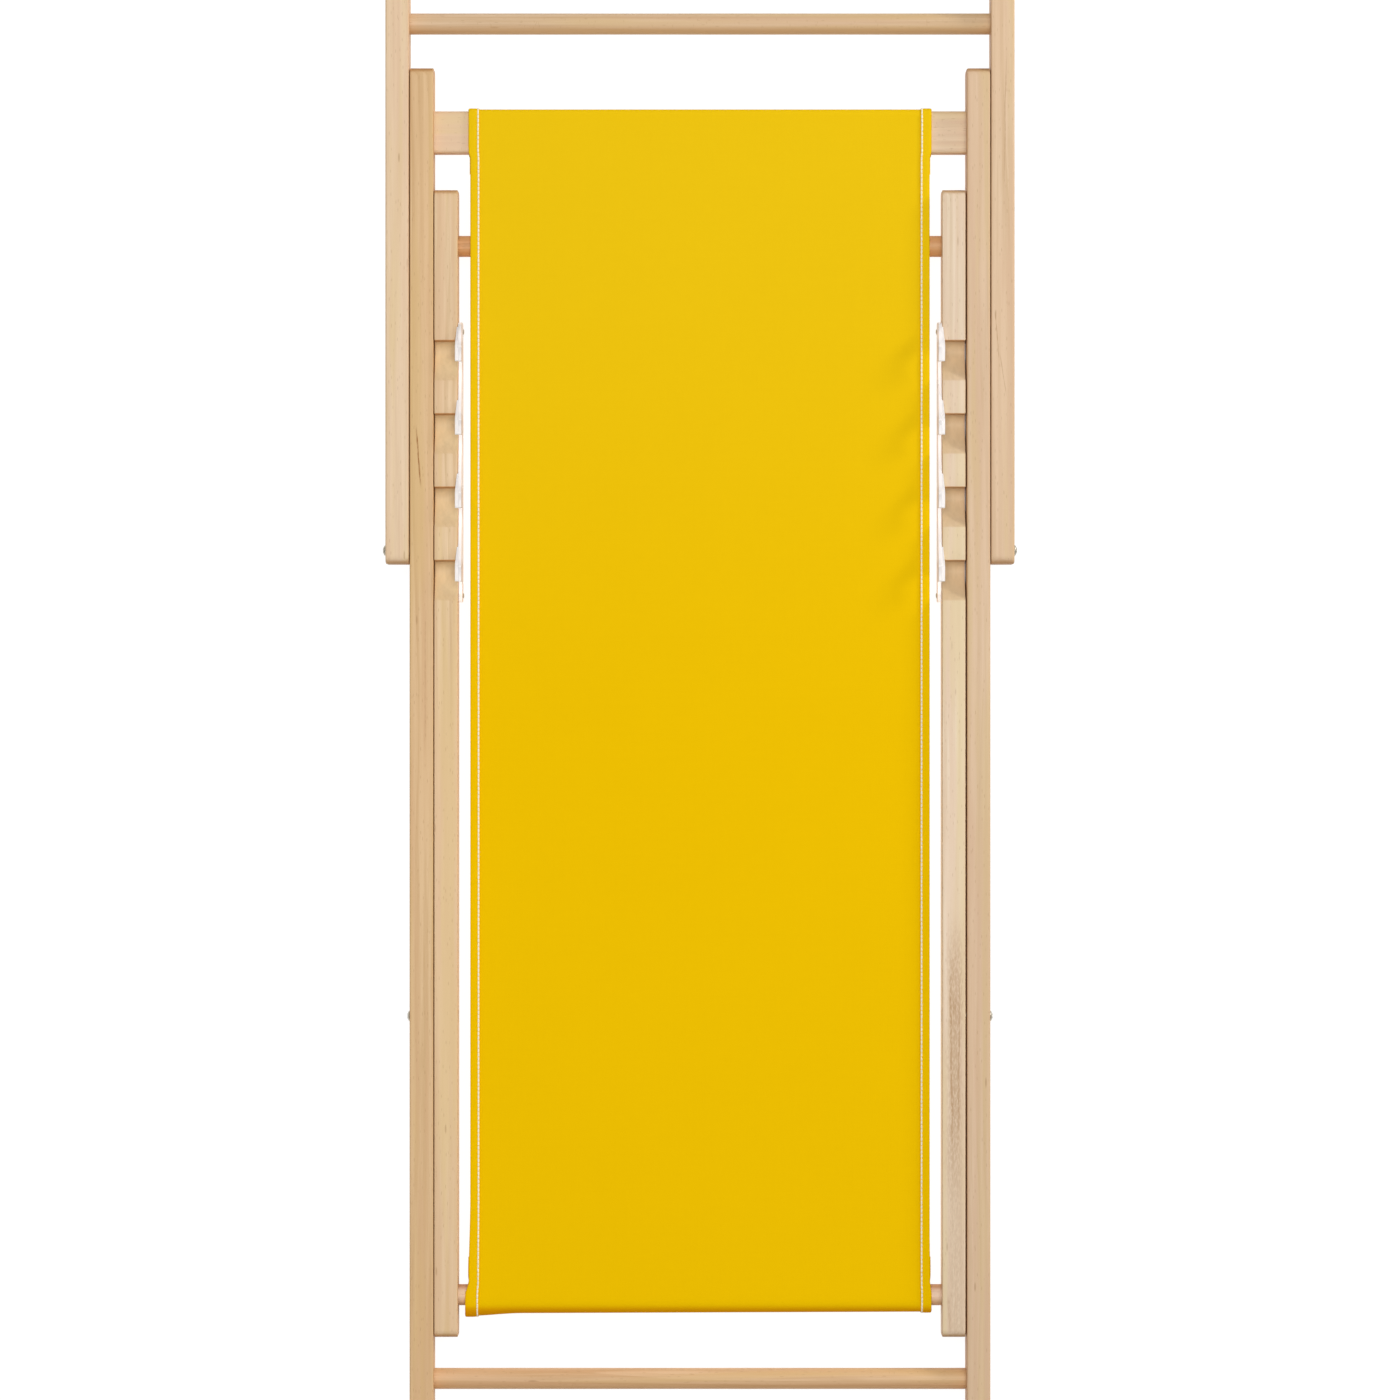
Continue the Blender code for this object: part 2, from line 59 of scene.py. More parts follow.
SEAT_IN_X = 0.2290
SEAT_OUT_X = SEAT_IN_X + RAIL_T
BACK_IN_X = SEAT_OUT_X + SPACING
BACK_OUT_X = BACK_IN_X + RAIL_T
PROP_IN_X = BACK_OUT_X + SPACING
PROP_OUT_X = PROP_IN_X + RAIL_T
SEAT_Y = (-0.6026, 0.4824)
BACK_Y = (-0.6945, 0.5977)
PROP_Y = (0.1285, 0.6945)
PIVOT_Y = -0.2995
PROP_PIVOT_Y = 0.14175
DOWEL_R = 0.010
SEAT_FRONT_DOWEL_Y = -0.5639
SEAT_REAR_DOWEL_Y = 0.4301
BACK_FOOT_DOWEL_Y = -0.6433
PROP_BAR_Y = 0.6410
CROSSBAR_Y = (0.5174, 0.5576)
CROSSBAR_Z = (0.011, 0.031)
NOTCH_WALL_Y = (0.1317, 0.2010, 0.2703, 0.3396)
NOTCH_R = 0.0105
NOTCH_SEAT_Z = 0.0365
NOTCH_LENGTH = 0.0380
STRIP_T = 0.0050
PLATE_T = 0.0042
STRIP_LIP = 0.0024
STRIP_END_Y = (0.0926, 0.3572)
STRIP_LOW_Z = 0.0150
HOOK_TOP_Z = 0.0500
HOOK_UNDER_Z = 0.0470
HOOK_REACH = 0.0200
HOOK_BEND = 0.0057
GAP = 0.0003
NUT_R = 0.0060
NUT_LENGTH = 0.0069
STRIP_PIN_Z = 0.0205
STRIP_PIN_Y = (0.0990, 0.3490)
SIDES = ((-1, "left"), (1, "right"))

scene = bpy.context.scene
pieces = bpy.data.collections.new("looks")
scene.collection.children.link(pieces)


# ---------------------------------------------------------------- node helper
class Nodes:
    """Small helper to write a node tree as expressions."""

    def __init__(self, name):
        self.mat = bpy.data.materials.new(name)
        self.mat.use_nodes = True
        self.tree = self.mat.node_tree
        self.tree.nodes.clear()
        self.out = self.tree.nodes.new("ShaderNodeOutputMaterial")
        self.bsdf = self.tree.nodes.new("ShaderNodeBsdfPrincipled")
        self.link(self.bsdf.outputs["BSDF"], self.out.inputs["Surface"])

    def link(self, a, b):
        self.tree.links.new(a, b)

    def put(self, socket, value):
        if isinstance(value, bpy.types.NodeSocket):
            self.link(value, socket)
        else:
            socket.default_value = value

    def math(self, op, a, b=None, c=None, clamp=False):
        node = self.tree.nodes.new("ShaderNodeMath")
        node.operation = op
        node.use_clamp = clamp
        for socket, value in zip(node.inputs, (a, b, c)):
            if value is not None:
                self.put(socket, value)
        return node.outputs[0]

    def vec(self, op, a, b=None, scale=None):
        node = self.tree.nodes.new("ShaderNodeVectorMath")
        node.operation = op
        self.put(node.inputs[0], a)
        if b is not None:
            self.put(node.inputs[1], b)
        if scale is not None:
            self.put(node.inputs["Scale"], scale)
        return node.outputs["Value"] if op in ("LENGTH", "DOT_PRODUCT") else node.outputs["Vector"]

    def split(self, v):
        node = self.tree.nodes.new("ShaderNodeSeparateXYZ")
        self.link(v, node.inputs[0])
        return node.outputs[0], node.outputs[1], node.outputs[2]

    def join(self, x, y, z):
        node = self.tree.nodes.new("ShaderNodeCombineXYZ")
        for socket, value in zip(node.inputs, (x, y, z)):
            self.put(socket, value)
        return node.outputs[0]

    def coord(self, kind="Object"):
        node = self.tree.nodes.new("ShaderNodeTexCoord")
        return node.outputs[kind]

    def uv(self, layer):
        node = self.tree.nodes.new("ShaderNodeUVMap")
        node.uv_map = layer
        return node.outputs[0]

    def attribute(self, name):
        node = self.tree.nodes.new("ShaderNodeAttribute")
        node.attribute_type = "GEOMETRY"
        node.attribute_name = name
        return node.outputs["Fac"]

    def noise(self, v, scale=1.0, detail=2.0, rough=0.5, colour=False, distortion=0.0):
        node = self.tree.nodes.new("ShaderNodeTexNoise")
        node.noise_dimensions = "3D"
        self.link(v, node.inputs["Vector"])
        node.inputs["Scale"].default_value = scale
        node.inputs["Detail"].default_value = detail
        node.inputs["Roughness"].default_value = rough
        node.inputs["Distortion"].default_value = distortion
        return node.outputs["Color"] if colour else node.outputs["Fac"]

    def voronoi(self, v, scale=1.0, randomness=1.0):
        node = self.tree.nodes.new("ShaderNodeTexVoronoi")
        node.feature = "F1"
        self.link(v, node.inputs["Vector"])
        node.inputs["Scale"].default_value = scale
        node.inputs["Randomness"].default_value = randomness
        return node.outputs["Distance"], node.outputs["Color"]

    def range(self, v, a, b, c=0.0, d=1.0, smooth=True):
        node = self.tree.nodes.new("ShaderNodeMapRange")
        node.interpolation_type = "SMOOTHSTEP" if smooth else "LINEAR"
        node.clamp = True
        self.put(node.inputs["Value"], v)
        node.inputs["From Min"].default_value = a
        node.inputs["From Max"].default_value = b
        node.inputs["To Min"].default_value = c
        node.inputs["To Max"].default_value = d
        return node.outputs["Result"]

    def mix(self, factor, a, b, mode="MIX"):
        node = self.tree.nodes.new("ShaderNodeMix")
        node.data_type = "RGBA"
        node.blend_type = mode
        node.clamp_factor = True
        self.put(node.inputs[0], factor)
        self.put(node.inputs[6], a)
        self.put(node.inputs[7], b)
        return node.outputs[2]

    def bump(self, height, strength, distance, normal=None):
        node = self.tree.nodes.new("ShaderNodeBump")
        node.inputs["Strength"].default_value = strength
        node.inputs["Distance"].default_value = distance
        self.link(height, node.inputs["Height"])
        if normal is not None:
            self.link(normal, node.inputs["Normal"])
        return node.outputs[0]

    def set(self, **values):
        for name, value in values.items():
            self.put(self.bsdf.inputs[name.replace("_", " ")], value)
        return self.mat


def linear(r, g, b):
    """sRGB 0-255 to linear."""
    out = []
    for c in (r, g, b):
        c /= 255.0
        out.append(c / 12.92 if c <= 0.04045 else ((c + 0.055) / 1.055) ** 2.4)
    return out


def rgba(c, k=(1.0, 1.0, 1.0)):
    return (min(c[0] * k[0], 1.0), min(c[1] * k[1], 1.0), min(c[2] * k[2], 1.0), 1.0)


# ---------------------------------------------------------------- wood
def wood(name, srgb, seed, along="Y", heart=(0.055, -0.060), spacing=0.0030,
         bands=0.5, marks=(), edge_shade_amount=0.55, tilt=0.0, notch_paint_tone=(1.17, 1.20, 1.22)):
    """Oiled beech: growth bands, fibres, short ray flecks, with painted shade on edges, ends and gap sides, and painted
    light and shade in the notches.
    """
    n = Nodes(name)
    tone = linear(*srgb)
    p = n.coord("Object")
    x0, y0, z0 = n.split(p)
    if along == "Y":
        x, y, z = x0, y0, z0
    else:
        x, y, z = y0, x0, z0
    ox, oy, oz = 0.37 * seed, 1.91 * seed, 0.83 * seed
    here = n.join(n.math("ADD", x, ox), n.math("ADD", y, oy), n.math("ADD", z, oz))

    # the stem wanders a little along the length, so the bands drift and arch
    wander = n.noise(n.vec("MULTIPLY", here, (5.0, 1.9, 5.0)), 1.0, 1.5, 0.5)
    wander2 = n.noise(n.vec("MULTIPLY", here, (60.0, 4.5, 60.0)), 1.0, 2.0, 0.5)
    dx = n.math("MULTIPLY_ADD", wander, 0.034, n.math("MULTIPLY_ADD", wander2, 0.0035, n.math("MULTIPLY", y, tilt)))
    hx = n.math("ADD", n.math("SUBTRACT", x, heart[0]), dx)
    hz = n.math("SUBTRACT", z, heart[1])
    radius = n.vec("LENGTH", n.join(hx, hz, 0.0))
    ring = n.math("FRACT", n.math("DIVIDE", radius, spacing))
    late = n.math("MULTIPLY", n.range(ring, 0.25, 0.93), n.range(ring, 1.0, 0.94))
    ring_id = n.math("FLOOR", n.math("DIVIDE", radius, spacing))
    ring_tone = n.noise(n.join(n.math("MULTIPLY", ring_id, 0.73), n.math("MULTIPLY", y, 0.8), ox), 1.0, 1.0, 0.5)

    streak = n.noise(n.vec("MULTIPLY", here, (210.0, 4.2, 210.0)), 1.0, 3.0, 0.6)
    fibre = n.noise(n.vec("MULTIPLY", here, (1500.0, 34.0, 1500.0)), 1.0, 3.0, 0.65)
    blotch = n.noise(n.vec("MULTIPLY", here, (22.0, 2.6, 22.0)), 1.0, 2.0, 0.5)
    warm = n.noise(n.vec("MULTIPLY", n.vec("ADD", here, (3.1, 7.7, 1.3)), (75.0, 3.2, 75.0)), 1.0, 2.0, 0.5)

    # short dark ray flecks, a couple of millimetres long
    fleck_d, fleck_c = n.voronoi(n.vec("MULTIPLY", here, (470.0, 92.0, 470.0)))
    keep = n.split(fleck_c)[0]
    fleck = n.math("MULTIPLY", n.range(fleck_d, 0.24, 0.10), n.range(keep, 0.30, 0.55))
    big_d, big_c = n.voronoi(n.vec("MULTIPLY", n.vec("ADD", here, (0.4, 0.9, 0.2)), (105.0, 21.0, 105.0)))
    big = n.math("MULTIPLY", n.range(big_d, 0.125, 0.045), n.range(n.split(big_c)[1], 0.55, 0.75))

    dark = n.math("MULTIPLY", late, n.range(ring_tone, 0.30, 0.72, 0.15, 1.0))
    shade = n.math("MULTIPLY", dark, 0.85 * bands)
    shade = n.math("MULTIPLY_ADD", n.range(streak, 0.36, 0.66), 0.50 * bands + 0.16, shade)
    shade = n.math("MULTIPLY_ADD", n.range(fibre, 0.35, 0.75), 0.22, shade)
    shade = n.math("ADD", shade, -0.03, clamp=True)

    light_c = rgba(tone, (1.10, 1.12, 1.16))
    dark_c = rgba(tone, (0.80, 0.715, 0.58))
    colour = n.mix(shade, light_c, dark_c)
    # slow drift between pinker, paler and yellower wood
    colour = n.mix(n.range(blotch, 0.36, 0.64, 0.0, 0.60), colour, rgba(tone, (1.06, 1.01, 1.00)))
    pink = n.noise(n.vec("MULTIPLY", n.vec("ADD", here, (5.3, 2.9, 8.1)), (120.0, 3.4, 120.0)), 1.0, 2.0, 0.55)
    colour = n.mix(n.range(pink, 0.44, 0.62, 0.0, 0.62), colour, rgba(tone, (0.97, 0.885, 0.86)))
    colour = n.mix(n.range(warm, 0.46, 0.66, 0.0, 0.62), colour, rgba(tone, (0.985, 0.97, 0.76)))
    colour = n.mix(n.math("MULTIPLY", fleck, 0.34), colour, rgba(tone, (0.60, 0.48, 0.36)))
    colour = n.mix(n.math("MULTIPLY", big, 0.45), colour, rgba(tone, (0.50, 0.37, 0.25)))
    # faint planer chatter across the grain
    bar_d, bar_c = n.voronoi(n.vec("MULTIPLY", n.vec("ADD", here, (0.9, 0.3, 0.7)), (170.0, 560.0, 170.0)))
    chatter = n.math("MULTIPLY", n.range(bar_d, 0.30, 0.12), n.range(n.split(bar_c)[2], 0.86, 0.93))
    colour = n.mix(n.math("MULTIPLY", chatter, 0.38), colour, rgba(tone, (0.74, 0.62, 0.48)))

    # single marks in the grain: (across at start, across at end, from, to,
    # half width, strength, waviness, darkness)
    for k, (ca, cb, ya, yb, width, strength, wave, deep) in enumerate(marks):
        drift = n.math("MULTIPLY_ADD", n.noise(n.join(0.3 * k, n.math("MULTIPLY", y, 22.0), ox), 1.0, 2.0, 0.5), wave, -0.5 * wave)
        slope = (cb - ca) / (yb - ya)
        line = n.math("MULTIPLY_ADD", y, slope, ca - slope * ya)
        d = n.math("ABSOLUTE", n.math("ADD", n.math("SUBTRACT", x, line), drift))
        across = n.range(d, width, width * 0.15)
        low, high = min(ya, yb), max(ya, yb)
        fade = 0.25 * (high - low)
        along_m = n.math("MULTIPLY", n.range(y, low, low + fade), n.range(y, high, high - fade))
        rough_m = n.range(n.noise(n.vec("MULTIPLY", here, (900.0, 190.0, 900.0)), 1.0, 3.0, 0.6), 0.36, 0.60, 0.35, 1.0)
        m = n.math("MULTIPLY", n.math("MULTIPLY", across, along_m), n.math("MULTIPLY", rough_m, strength))
        colour = n.mix(m, colour, rgba(tone, [1 - deep * c for c in (0.42, 0.58, 0.72)]))

    # end grain is darker; the same mask paints shade on the ends and notch walls that face away from the light
    end = n.attribute("endgrain_and_shade")
    end_speck = n.range(n.noise(n.vec("MULTIPLY", here, (900.0, 900.0, 900.0)), 1.0, 2.0, 0.5), 0.40, 0.65)
    end_col = n.mix(n.math("MULTIPLY", end_speck, 0.5), rgba(tone, (0.74, 0.56, 0.38)), rgba(tone, (0.56, 0.40, 0.25)))
    colour = n.mix(n.math("MULTIPLY", end, 0.92), colour, end_col)
    # painted shade, warm and dark, on faces in the gaps between parts and in recesses
    colour = n.mix(n.attribute("painted_shade"), colour, n.mix(n.range(streak, 0.3, 0.7), rgba(tone, (0.84, 0.56, 0.33)), rgba(tone, (0.72, 0.45, 0.25))))
    # painted shade along the rounded long edges, warm and darker, broken up by noise
    edge = n.attribute("edge")
    edge_shade_breakup = n.range(n.noise(n.vec("MULTIPLY", here, (160.0, 16.0, 160.0)), 1.0, 3.0, 0.6), 0.30, 0.72, 0.45, 1.0)
    colour = n.mix(n.math("MULTIPLY", n.math("MULTIPLY", edge, edge_shade_breakup), edge_shade_amount), colour, rgba(tone, (0.96, 0.86, 0.74)))
    # painted light and shade in the notches, set by the notch tone
    notch_light_shade = n.attribute("notch_light_shade")
    colour = n.mix(n.math("MULTIPLY", notch_light_shade, 0.9), colour, n.mix(n.range(streak, 0.3, 0.7), rgba(tone, notch_paint_tone), rgba(tone, [0.92 * c for c in notch_paint_tone])))
    # painted shade on the dowel sides towards the feet
    under = n.attribute("under")
    colour = n.mix(under, colour, n.mix(n.range(streak, 0.3, 0.7), rgba(tone, (0.92, 0.78, 0.60)), rgba(tone, (0.84, 0.68, 0.50))))

    height = n.math("MULTIPLY_ADD", fibre, 0.55, n.math("MULTIPLY", streak, 0.30))
    height = n.math("SUBTRACT", height, n.math("MULTIPLY", fleck, 0.35))
    height = n.math("SUBTRACT", height, n.math("MULTIPLY", late, 0.12))
    normal = n.bump(height, 0.32, 0.00022)
    rough = n.math("MULTIPLY_ADD", fibre, 0.16, n.math("MULTIPLY_ADD", edge, -0.06, 0.46))
    n.set(Base_Color=colour, Roughness=rough, Normal=normal)
    n.bsdf.inputs["Specular IOR Level"].default_value = 0.32
    n.bsdf.inputs["IOR"].default_value = 1.48
    return n.mat


# ---------------------------------------------------------------- canvas
def canvas(name, head, foot):
    """Plain-woven cotton canvas; the UV map is in metres of cloth.

    head and foot are its linear colours at the two ends; the colour shifts between
    them along the cloth, and the head colour holds a painted sheen in its blue."""
    n = Nodes(name)
    u, v, _ = n.split(n.uv("cloth"))
    # blend from head to foot colour along the cloth; the head colour holds a painted sheen
    fade = n.range(v, 0.10, 0.75)

    def tint(k):
        return n.mix(fade, rgba(head, k), rgba(foot, k))
    pitch = 0.00085
    cloth = n.join(u, v, 0.0)
    wob_u = n.math("MULTIPLY_ADD", n.noise(n.vec("MULTIPLY", cloth, (900.0, 40.0, 1.0)), 1.0, 2.0), 0.00022, u)
    wob_v = n.math("MULTIPLY_ADD", n.noise(n.vec("MULTIPLY", cloth, (40.0, 900.0, 1.0)), 1.0, 2.0), 0.00022, v)
    a = n.math("MULTIPLY", wob_u, math.pi / pitch)
    b = n.math("MULTIPLY", wob_v, math.pi / pitch)
    sa = n.math("ABSOLUTE", n.math("SINE", a))
    sb = n.math("ABSOLUTE", n.math("SINE", b))
    # warp over weft on alternate crossings
    parity = n.math("MULTIPLY", n.math("SINE", a), n.math("SINE", b))
    over = n.range(parity, -0.08, 0.08)
    warp = n.math("MULTIPLY", sa, n.math("POWER", sb, 0.35))
    weft = n.math("MULTIPLY", sb, n.math("POWER", sa, 0.35))
    weave = n.math("ADD", n.math("MULTIPLY", over, warp),
                   n.math("MULTIPLY", n.math("SUBTRACT", 1.0, over), weft))
    slub_w = n.noise(n.vec("MULTIPLY", cloth, (1.0 / pitch, 26.0, 1.0)), 1.0, 2.0, 0.5)
    slub_f = n.noise(n.vec("MULTIPLY", cloth, (26.0, 1.0 / pitch, 1.0)), 1.0, 2.0, 0.5)
    slub = n.math("ADD", n.math("MULTIPLY", slub_w, 0.5), n.math("MULTIPLY", slub_f, 0.5))
    blotch = n.noise(n.vec("MULTIPLY", cloth, (7.0, 7.0, 1.0)), 1.0, 3.0, 0.5)
    crease = n.attribute("hem_painted_shade")

    base = n.mix(n.range(weave, 0.10, 0.80), tint((0.88, 0.82, 0.6)), tint((1.025, 1.03, 1.0)))
    base = n.mix(n.range(slub, 0.36, 0.64, 0.0, 0.24), base, tint((0.95, 0.915, 0.8)))
    base = n.mix(n.range(blotch, 0.30, 0.70, 0.0, 0.25), base, tint((0.98, 0.965, 0.9)))
    # painted shade along the hem's folded edges and in the stitch valley
    base = n.mix(n.math("MULTIPLY", crease, 0.85), base, tint((0.84, 0.70, 0.5)))
    # painted shade where the cloth rolls round the front bar
    base = n.mix(n.attribute("turn"), base, tint((0.80, 0.52, 0.5)))
    height = n.math("MULTIPLY_ADD", slub, 0.5, weave)
    normal = n.bump(height, 0.30, 0.00012)
    n.set(Base_Color=base, Normal=normal)
    n.bsdf.inputs["Roughness"].default_value = 0.88
    n.bsdf.inputs["Specular IOR Level"].default_value = 0.02
    n.bsdf.inputs["Sheen Weight"].default_value = 0.04
    n.bsdf.inputs["Sheen Roughness"].default_value = 0.5
    n.bsdf.inputs["Sheen Tint"].default_value = (1.0, 0.66, 0.04, 1.0)
    return n.mat


def thread(name, srgb, glow=0.0):
    """Twisted sewing thread."""
    n = Nodes(name)
    tone = linear(*srgb)
    u, v, _ = n.split(n.uv("cloth"))
    twist = n.math("SINE", n.math("ADD", n.math("MULTIPLY", v, 2 * math.pi / 0.0011), n.math("MULTIPLY", u, 2 * math.pi)))
    fuzz = n.noise(n.coord("Object"), 2600.0, 2.0, 0.6)
    colour = n.mix(n.range(twist, -0.9, 0.3), rgba(tone, (0.82, 0.78, 0.70)), rgba(tone))
    colour = n.mix(n.range(fuzz, 0.35, 0.7, 0.0, 0.25), colour, rgba(tone, (0.92, 0.88, 0.82)))
    normal = n.bump(n.math("MULTIPLY_ADD", fuzz, 0.3, twist), 0.35, 0.00012)
    n.set(Base_Color=colour, Normal=normal)
    n.bsdf.inputs["Roughness"].default_value = 0.62
    n.bsdf.inputs["Specular IOR Level"].default_value = 0.25
    return n.mat


# ---------------------------------------------------------------- plastic, metal
def plastic(name):
    """Clear, slightly milky moulded plastic."""
    n = Nodes(name)
    p = n.coord("Object")
    cloud = n.noise(n.vec("MULTIPLY", p, (60.0, 24.0, 60.0)), 1.0, 3.0, 0.5)
    flow = n.noise(n.vec("MULTIPLY", p, (500.0, 30.0, 500.0)), 1.0, 2.0, 0.5)
    edge = n.attribute("edge")
    colour = n.mix(n.range(cloud, 0.3, 0.7), rgba((0.955, 0.925, 0.925)), rgba((0.930, 0.895, 0.89)))
    # painted light: the hooks, high up, are lighter than the low web
    colour = n.mix(n.math("MULTIPLY", edge, 0.55), colour, rgba((0.985, 0.965, 0.955)))
    # painted brown line along the strip's inner face, standing in for shade and the wood colour seen in that clear edge
    inward = n.math("ABSOLUTE", n.split(p)[0])
    rim = n.range(inward, SEAT_IN_X - GAP - PLATE_T + 0.0014, SEAT_IN_X - GAP - PLATE_T + 0.0005)
    colour = n.mix(n.math("MULTIPLY", rim, 0.85), colour, rgba((0.78, 0.58, 0.43)))
    rough = n.math("MULTIPLY_ADD", cloud, 0.16, 0.22)
    normal = n.bump(flow, 0.12, 0.0002)
    n.set(Base_Color=colour, Roughness=rough, Normal=normal)
    n.bsdf.inputs["Transmission Weight"].default_value = 0.30
    # painted glow: the low parts of the clear web emit light, standing in for light that passes through the plastic
    n.bsdf.inputs["Emission Color"].default_value = (1.0, 0.955, 0.935, 1.0)
    n.put(n.bsdf.inputs["Emission Strength"], n.math("MULTIPLY", n.range(edge, 0.0, 0.85, 0.25, 0.04), n.math("MULTIPLY_ADD", rim, -0.9, 1.0)))
    n.bsdf.inputs["IOR"].default_value = 1.49
    n.bsdf.inputs["Specular IOR Level"].default_value = 0.5
    return n.mat


def zinc(name, srgb=(188, 182, 168), rough=0.34):
    """Zinc-plated steel with turning marks and light tarnish."""
    n = Nodes(name)
    tone = linear(*srgb)
    p = n.coord("Object")
    fine = n.noise(p, 2400.0, 3.0, 0.6)
    stain = n.noise(p, 420.0, 3.0, 0.55)
    edge = n.attribute("edge")
    colour = n.mix(n.range(stain, 0.35, 0.7), rgba(tone, (1.05, 1.05, 1.06)), rgba(tone, (0.74, 0.70, 0.60)))
    colour = n.mix(n.math("MULTIPLY", edge, 0.5), colour, rgba(tone, (1.25, 1.25, 1.28)))
    r = n.math("MULTIPLY_ADD", stain, 0.22, n.math("MULTIPLY_ADD", fine, 0.08, rough - 0.12))
    normal = n.bump(n.math("MULTIPLY_ADD", stain, 0.6, fine), 0.18, 0.00008)
    n.set(Base_Color=colour, Roughness=r, Normal=normal)
    n.bsdf.inputs["Metallic"].default_value = 1.0
    return n.mat


# ---------------------------------------------------------------- mesh helpers
def make(name, verts, faces, mat, body, replaces=(), smooth_angle=35.0):
    mesh = bpy.data.meshes.new(name)
    mesh.from_pydata([tuple(v) for v in verts], [], [tuple(f) for f in faces])
    mesh.update()
    bm = bmesh.new()
    bm.from_mesh(mesh)
    bmesh.ops.recalc_face_normals(bm, faces=bm.faces)
    bm.to_mesh(mesh)
    bm.free()
    ob = bpy.data.objects.new(name, mesh)
    pieces.objects.link(ob)
    mesh.materials.append(mat)
    mesh.shade_smooth()
    mesh.set_sharp_from_angle(angle=math.radians(smooth_angle))
    if body is not None:
        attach(ob, body)
    if replaces:
        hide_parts(*replaces)
    return ob


def put_attribute(ob, name, values):
    layer = ob.data.attributes.get(name) or ob.data.attributes.new(name, "FLOAT", "POINT")
    layer.data.foreach_set("value", np.asarray(values, dtype=np.float32))


def arc(cy, cz, r, start, end, count):
    return [(cy + r * math.cos(math.radians(start + (end - start) * i / count)),
             cz + r * math.sin(math.radians(start + (end - start) * i / count))) for i in range(count + 1)]


def inset(loop, d, limit=2.5):
    """Move a counter-clockwise (y, z) loop inwards by d, mitred at its corners."""
    pts = np.asarray(loop, dtype=float)
    prev = np.roll(pts, 1, axis=0)
    nxt = np.roll(pts, -1, axis=0)
    e0 = pts - prev
    e1 = nxt - pts
    e0 /= np.linalg.norm(e0, axis=1)[:, None]
    e1 /= np.linalg.norm(e1, axis=1)[:, None]
    n0 = np.stack([-e0[:, 1], e0[:, 0]], axis=1)
    n1 = np.stack([-e1[:, 1], e1[:, 0]], axis=1)
    m = n0 + n1
    m /= np.linalg.norm(m, axis=1)[:, None]
    cosine = np.clip((m * n0).sum(1), 1.0 / limit, 1.0)
    return pts + m * (d / cosine)[:, None], -m


def smoothstep(a, b, x):
    t = np.clip((np.asarray(x, dtype=float) - a) / (b - a), 0.0, 1.0)
    return t * t * (3 - 2 * t)


def rail_shape(loop, x0, x1, r, sides=(0.0, 0.0), steps=5, support=0.0032, ringed=True):
    """Solid from a side outline, with rounded long edges.

    sides are the painted shade weights of the side nearer the middle of the chair
    and of the other one.  Returns verts, faces and the per-vertex weights of the
    painted edge shade, of the end grain with its painted shade, and of the painted side shade."""
    lo, hi = min(x0, x1), max(x0, x1)
    at_lo, at_hi = sides if lo > 0 else sides[::-1]
    r_lo, r_hi = r if lo > 0 else r[::-1]
    stations = []
    r = r_lo
    for k in range(steps, -1, -1):
        a = math.radians(90.0 * k / steps)
        stations.append((lo + r * (1 - math.sin(a)), r * (1 - math.cos(a)), 0.35 + 0.65 * math.sin(2 * a) if k else 0.30,
                         at_lo * float(smoothstep(0.45, 0.98, math.sin(a)))))
    stations.append((lo + r + support, 0.0, 0.0, 0.0))
    stations.append(((lo + hi) / 2, 0.0, 0.0, 0.0))
    r = r_hi
    stations.append((hi - r - support, 0.0, 0.0, 0.0))
    for k in range(0, steps + 1):
        a = math.radians(90.0 * k / steps)
        stations.append((hi - r * (1 - math.sin(a)), r * (1 - math.cos(a)), 0.35 + 0.65 * math.sin(2 * a) if k else 0.30,
                         at_hi * float(smoothstep(0.45, 0.98, math.sin(a)))))
    verts, edge, end, painted_shade = [], [], [], []
    count = len(loop)
    for x, d, w, q in stations:
        pts, out = inset(loop, d)
        for (y, z), (ny, nz) in zip(pts, out):
            verts.append((x, y, z))
            edge.append(w)
            end.append(float(smoothstep(0.42, 0.80, abs(ny))))
            painted_shade.append(q)
    rows = len(stations)
    faces = []
    for i in range(rows - 1):
        for j in range(count):
            k = (j + 1) % count
            faces.append((i * count + j, i * count + k, (i + 1) * count + k, (i + 1) * count + j))
    # flat sides: one ring further in carries the falloff of the painted edge shade
    for row in (0, rows - 1):
        if not ringed:
            # a side with sharp notches is one flat face up to its edges
            cap = tuple(row * count + j for j in range(count))
            faces.append(cap if row else cap[::-1])
            continue
        start = len(verts)
        pts, out = inset(loop, (r_hi if row else r_lo) + support)
        for (y, z), (ny, nz) in zip(pts, out):
            verts.append((stations[row][0], y, z))
            edge.append(0.0)
            end.append(0.0)
            painted_shade.append(at_hi if row else at_lo)
        for j in range(count):
            k = (j + 1) % count
            a, b = row * count + j, row * count + k
            quad = (start + j, start + k, b, a)
            faces.append(quad if row == 0 else quad[::-1])
        cap = tuple(start + j for j in range(count))
        faces.append(cap if row else cap[::-1])
    return verts, faces, edge, end, painted_shade


def fine_box(y0, y1, z0, z1, r, count=7):
    return (arc(y1 - r, z1 - r, r, 0, 90, count) + arc(y0 + r, z1 - r, r, 90, 180, count)
            + arc(y0 + r, z0 + r, r, 180, 270, count) + arc(y1 - r, z0 + r, r, 270, 360, count))


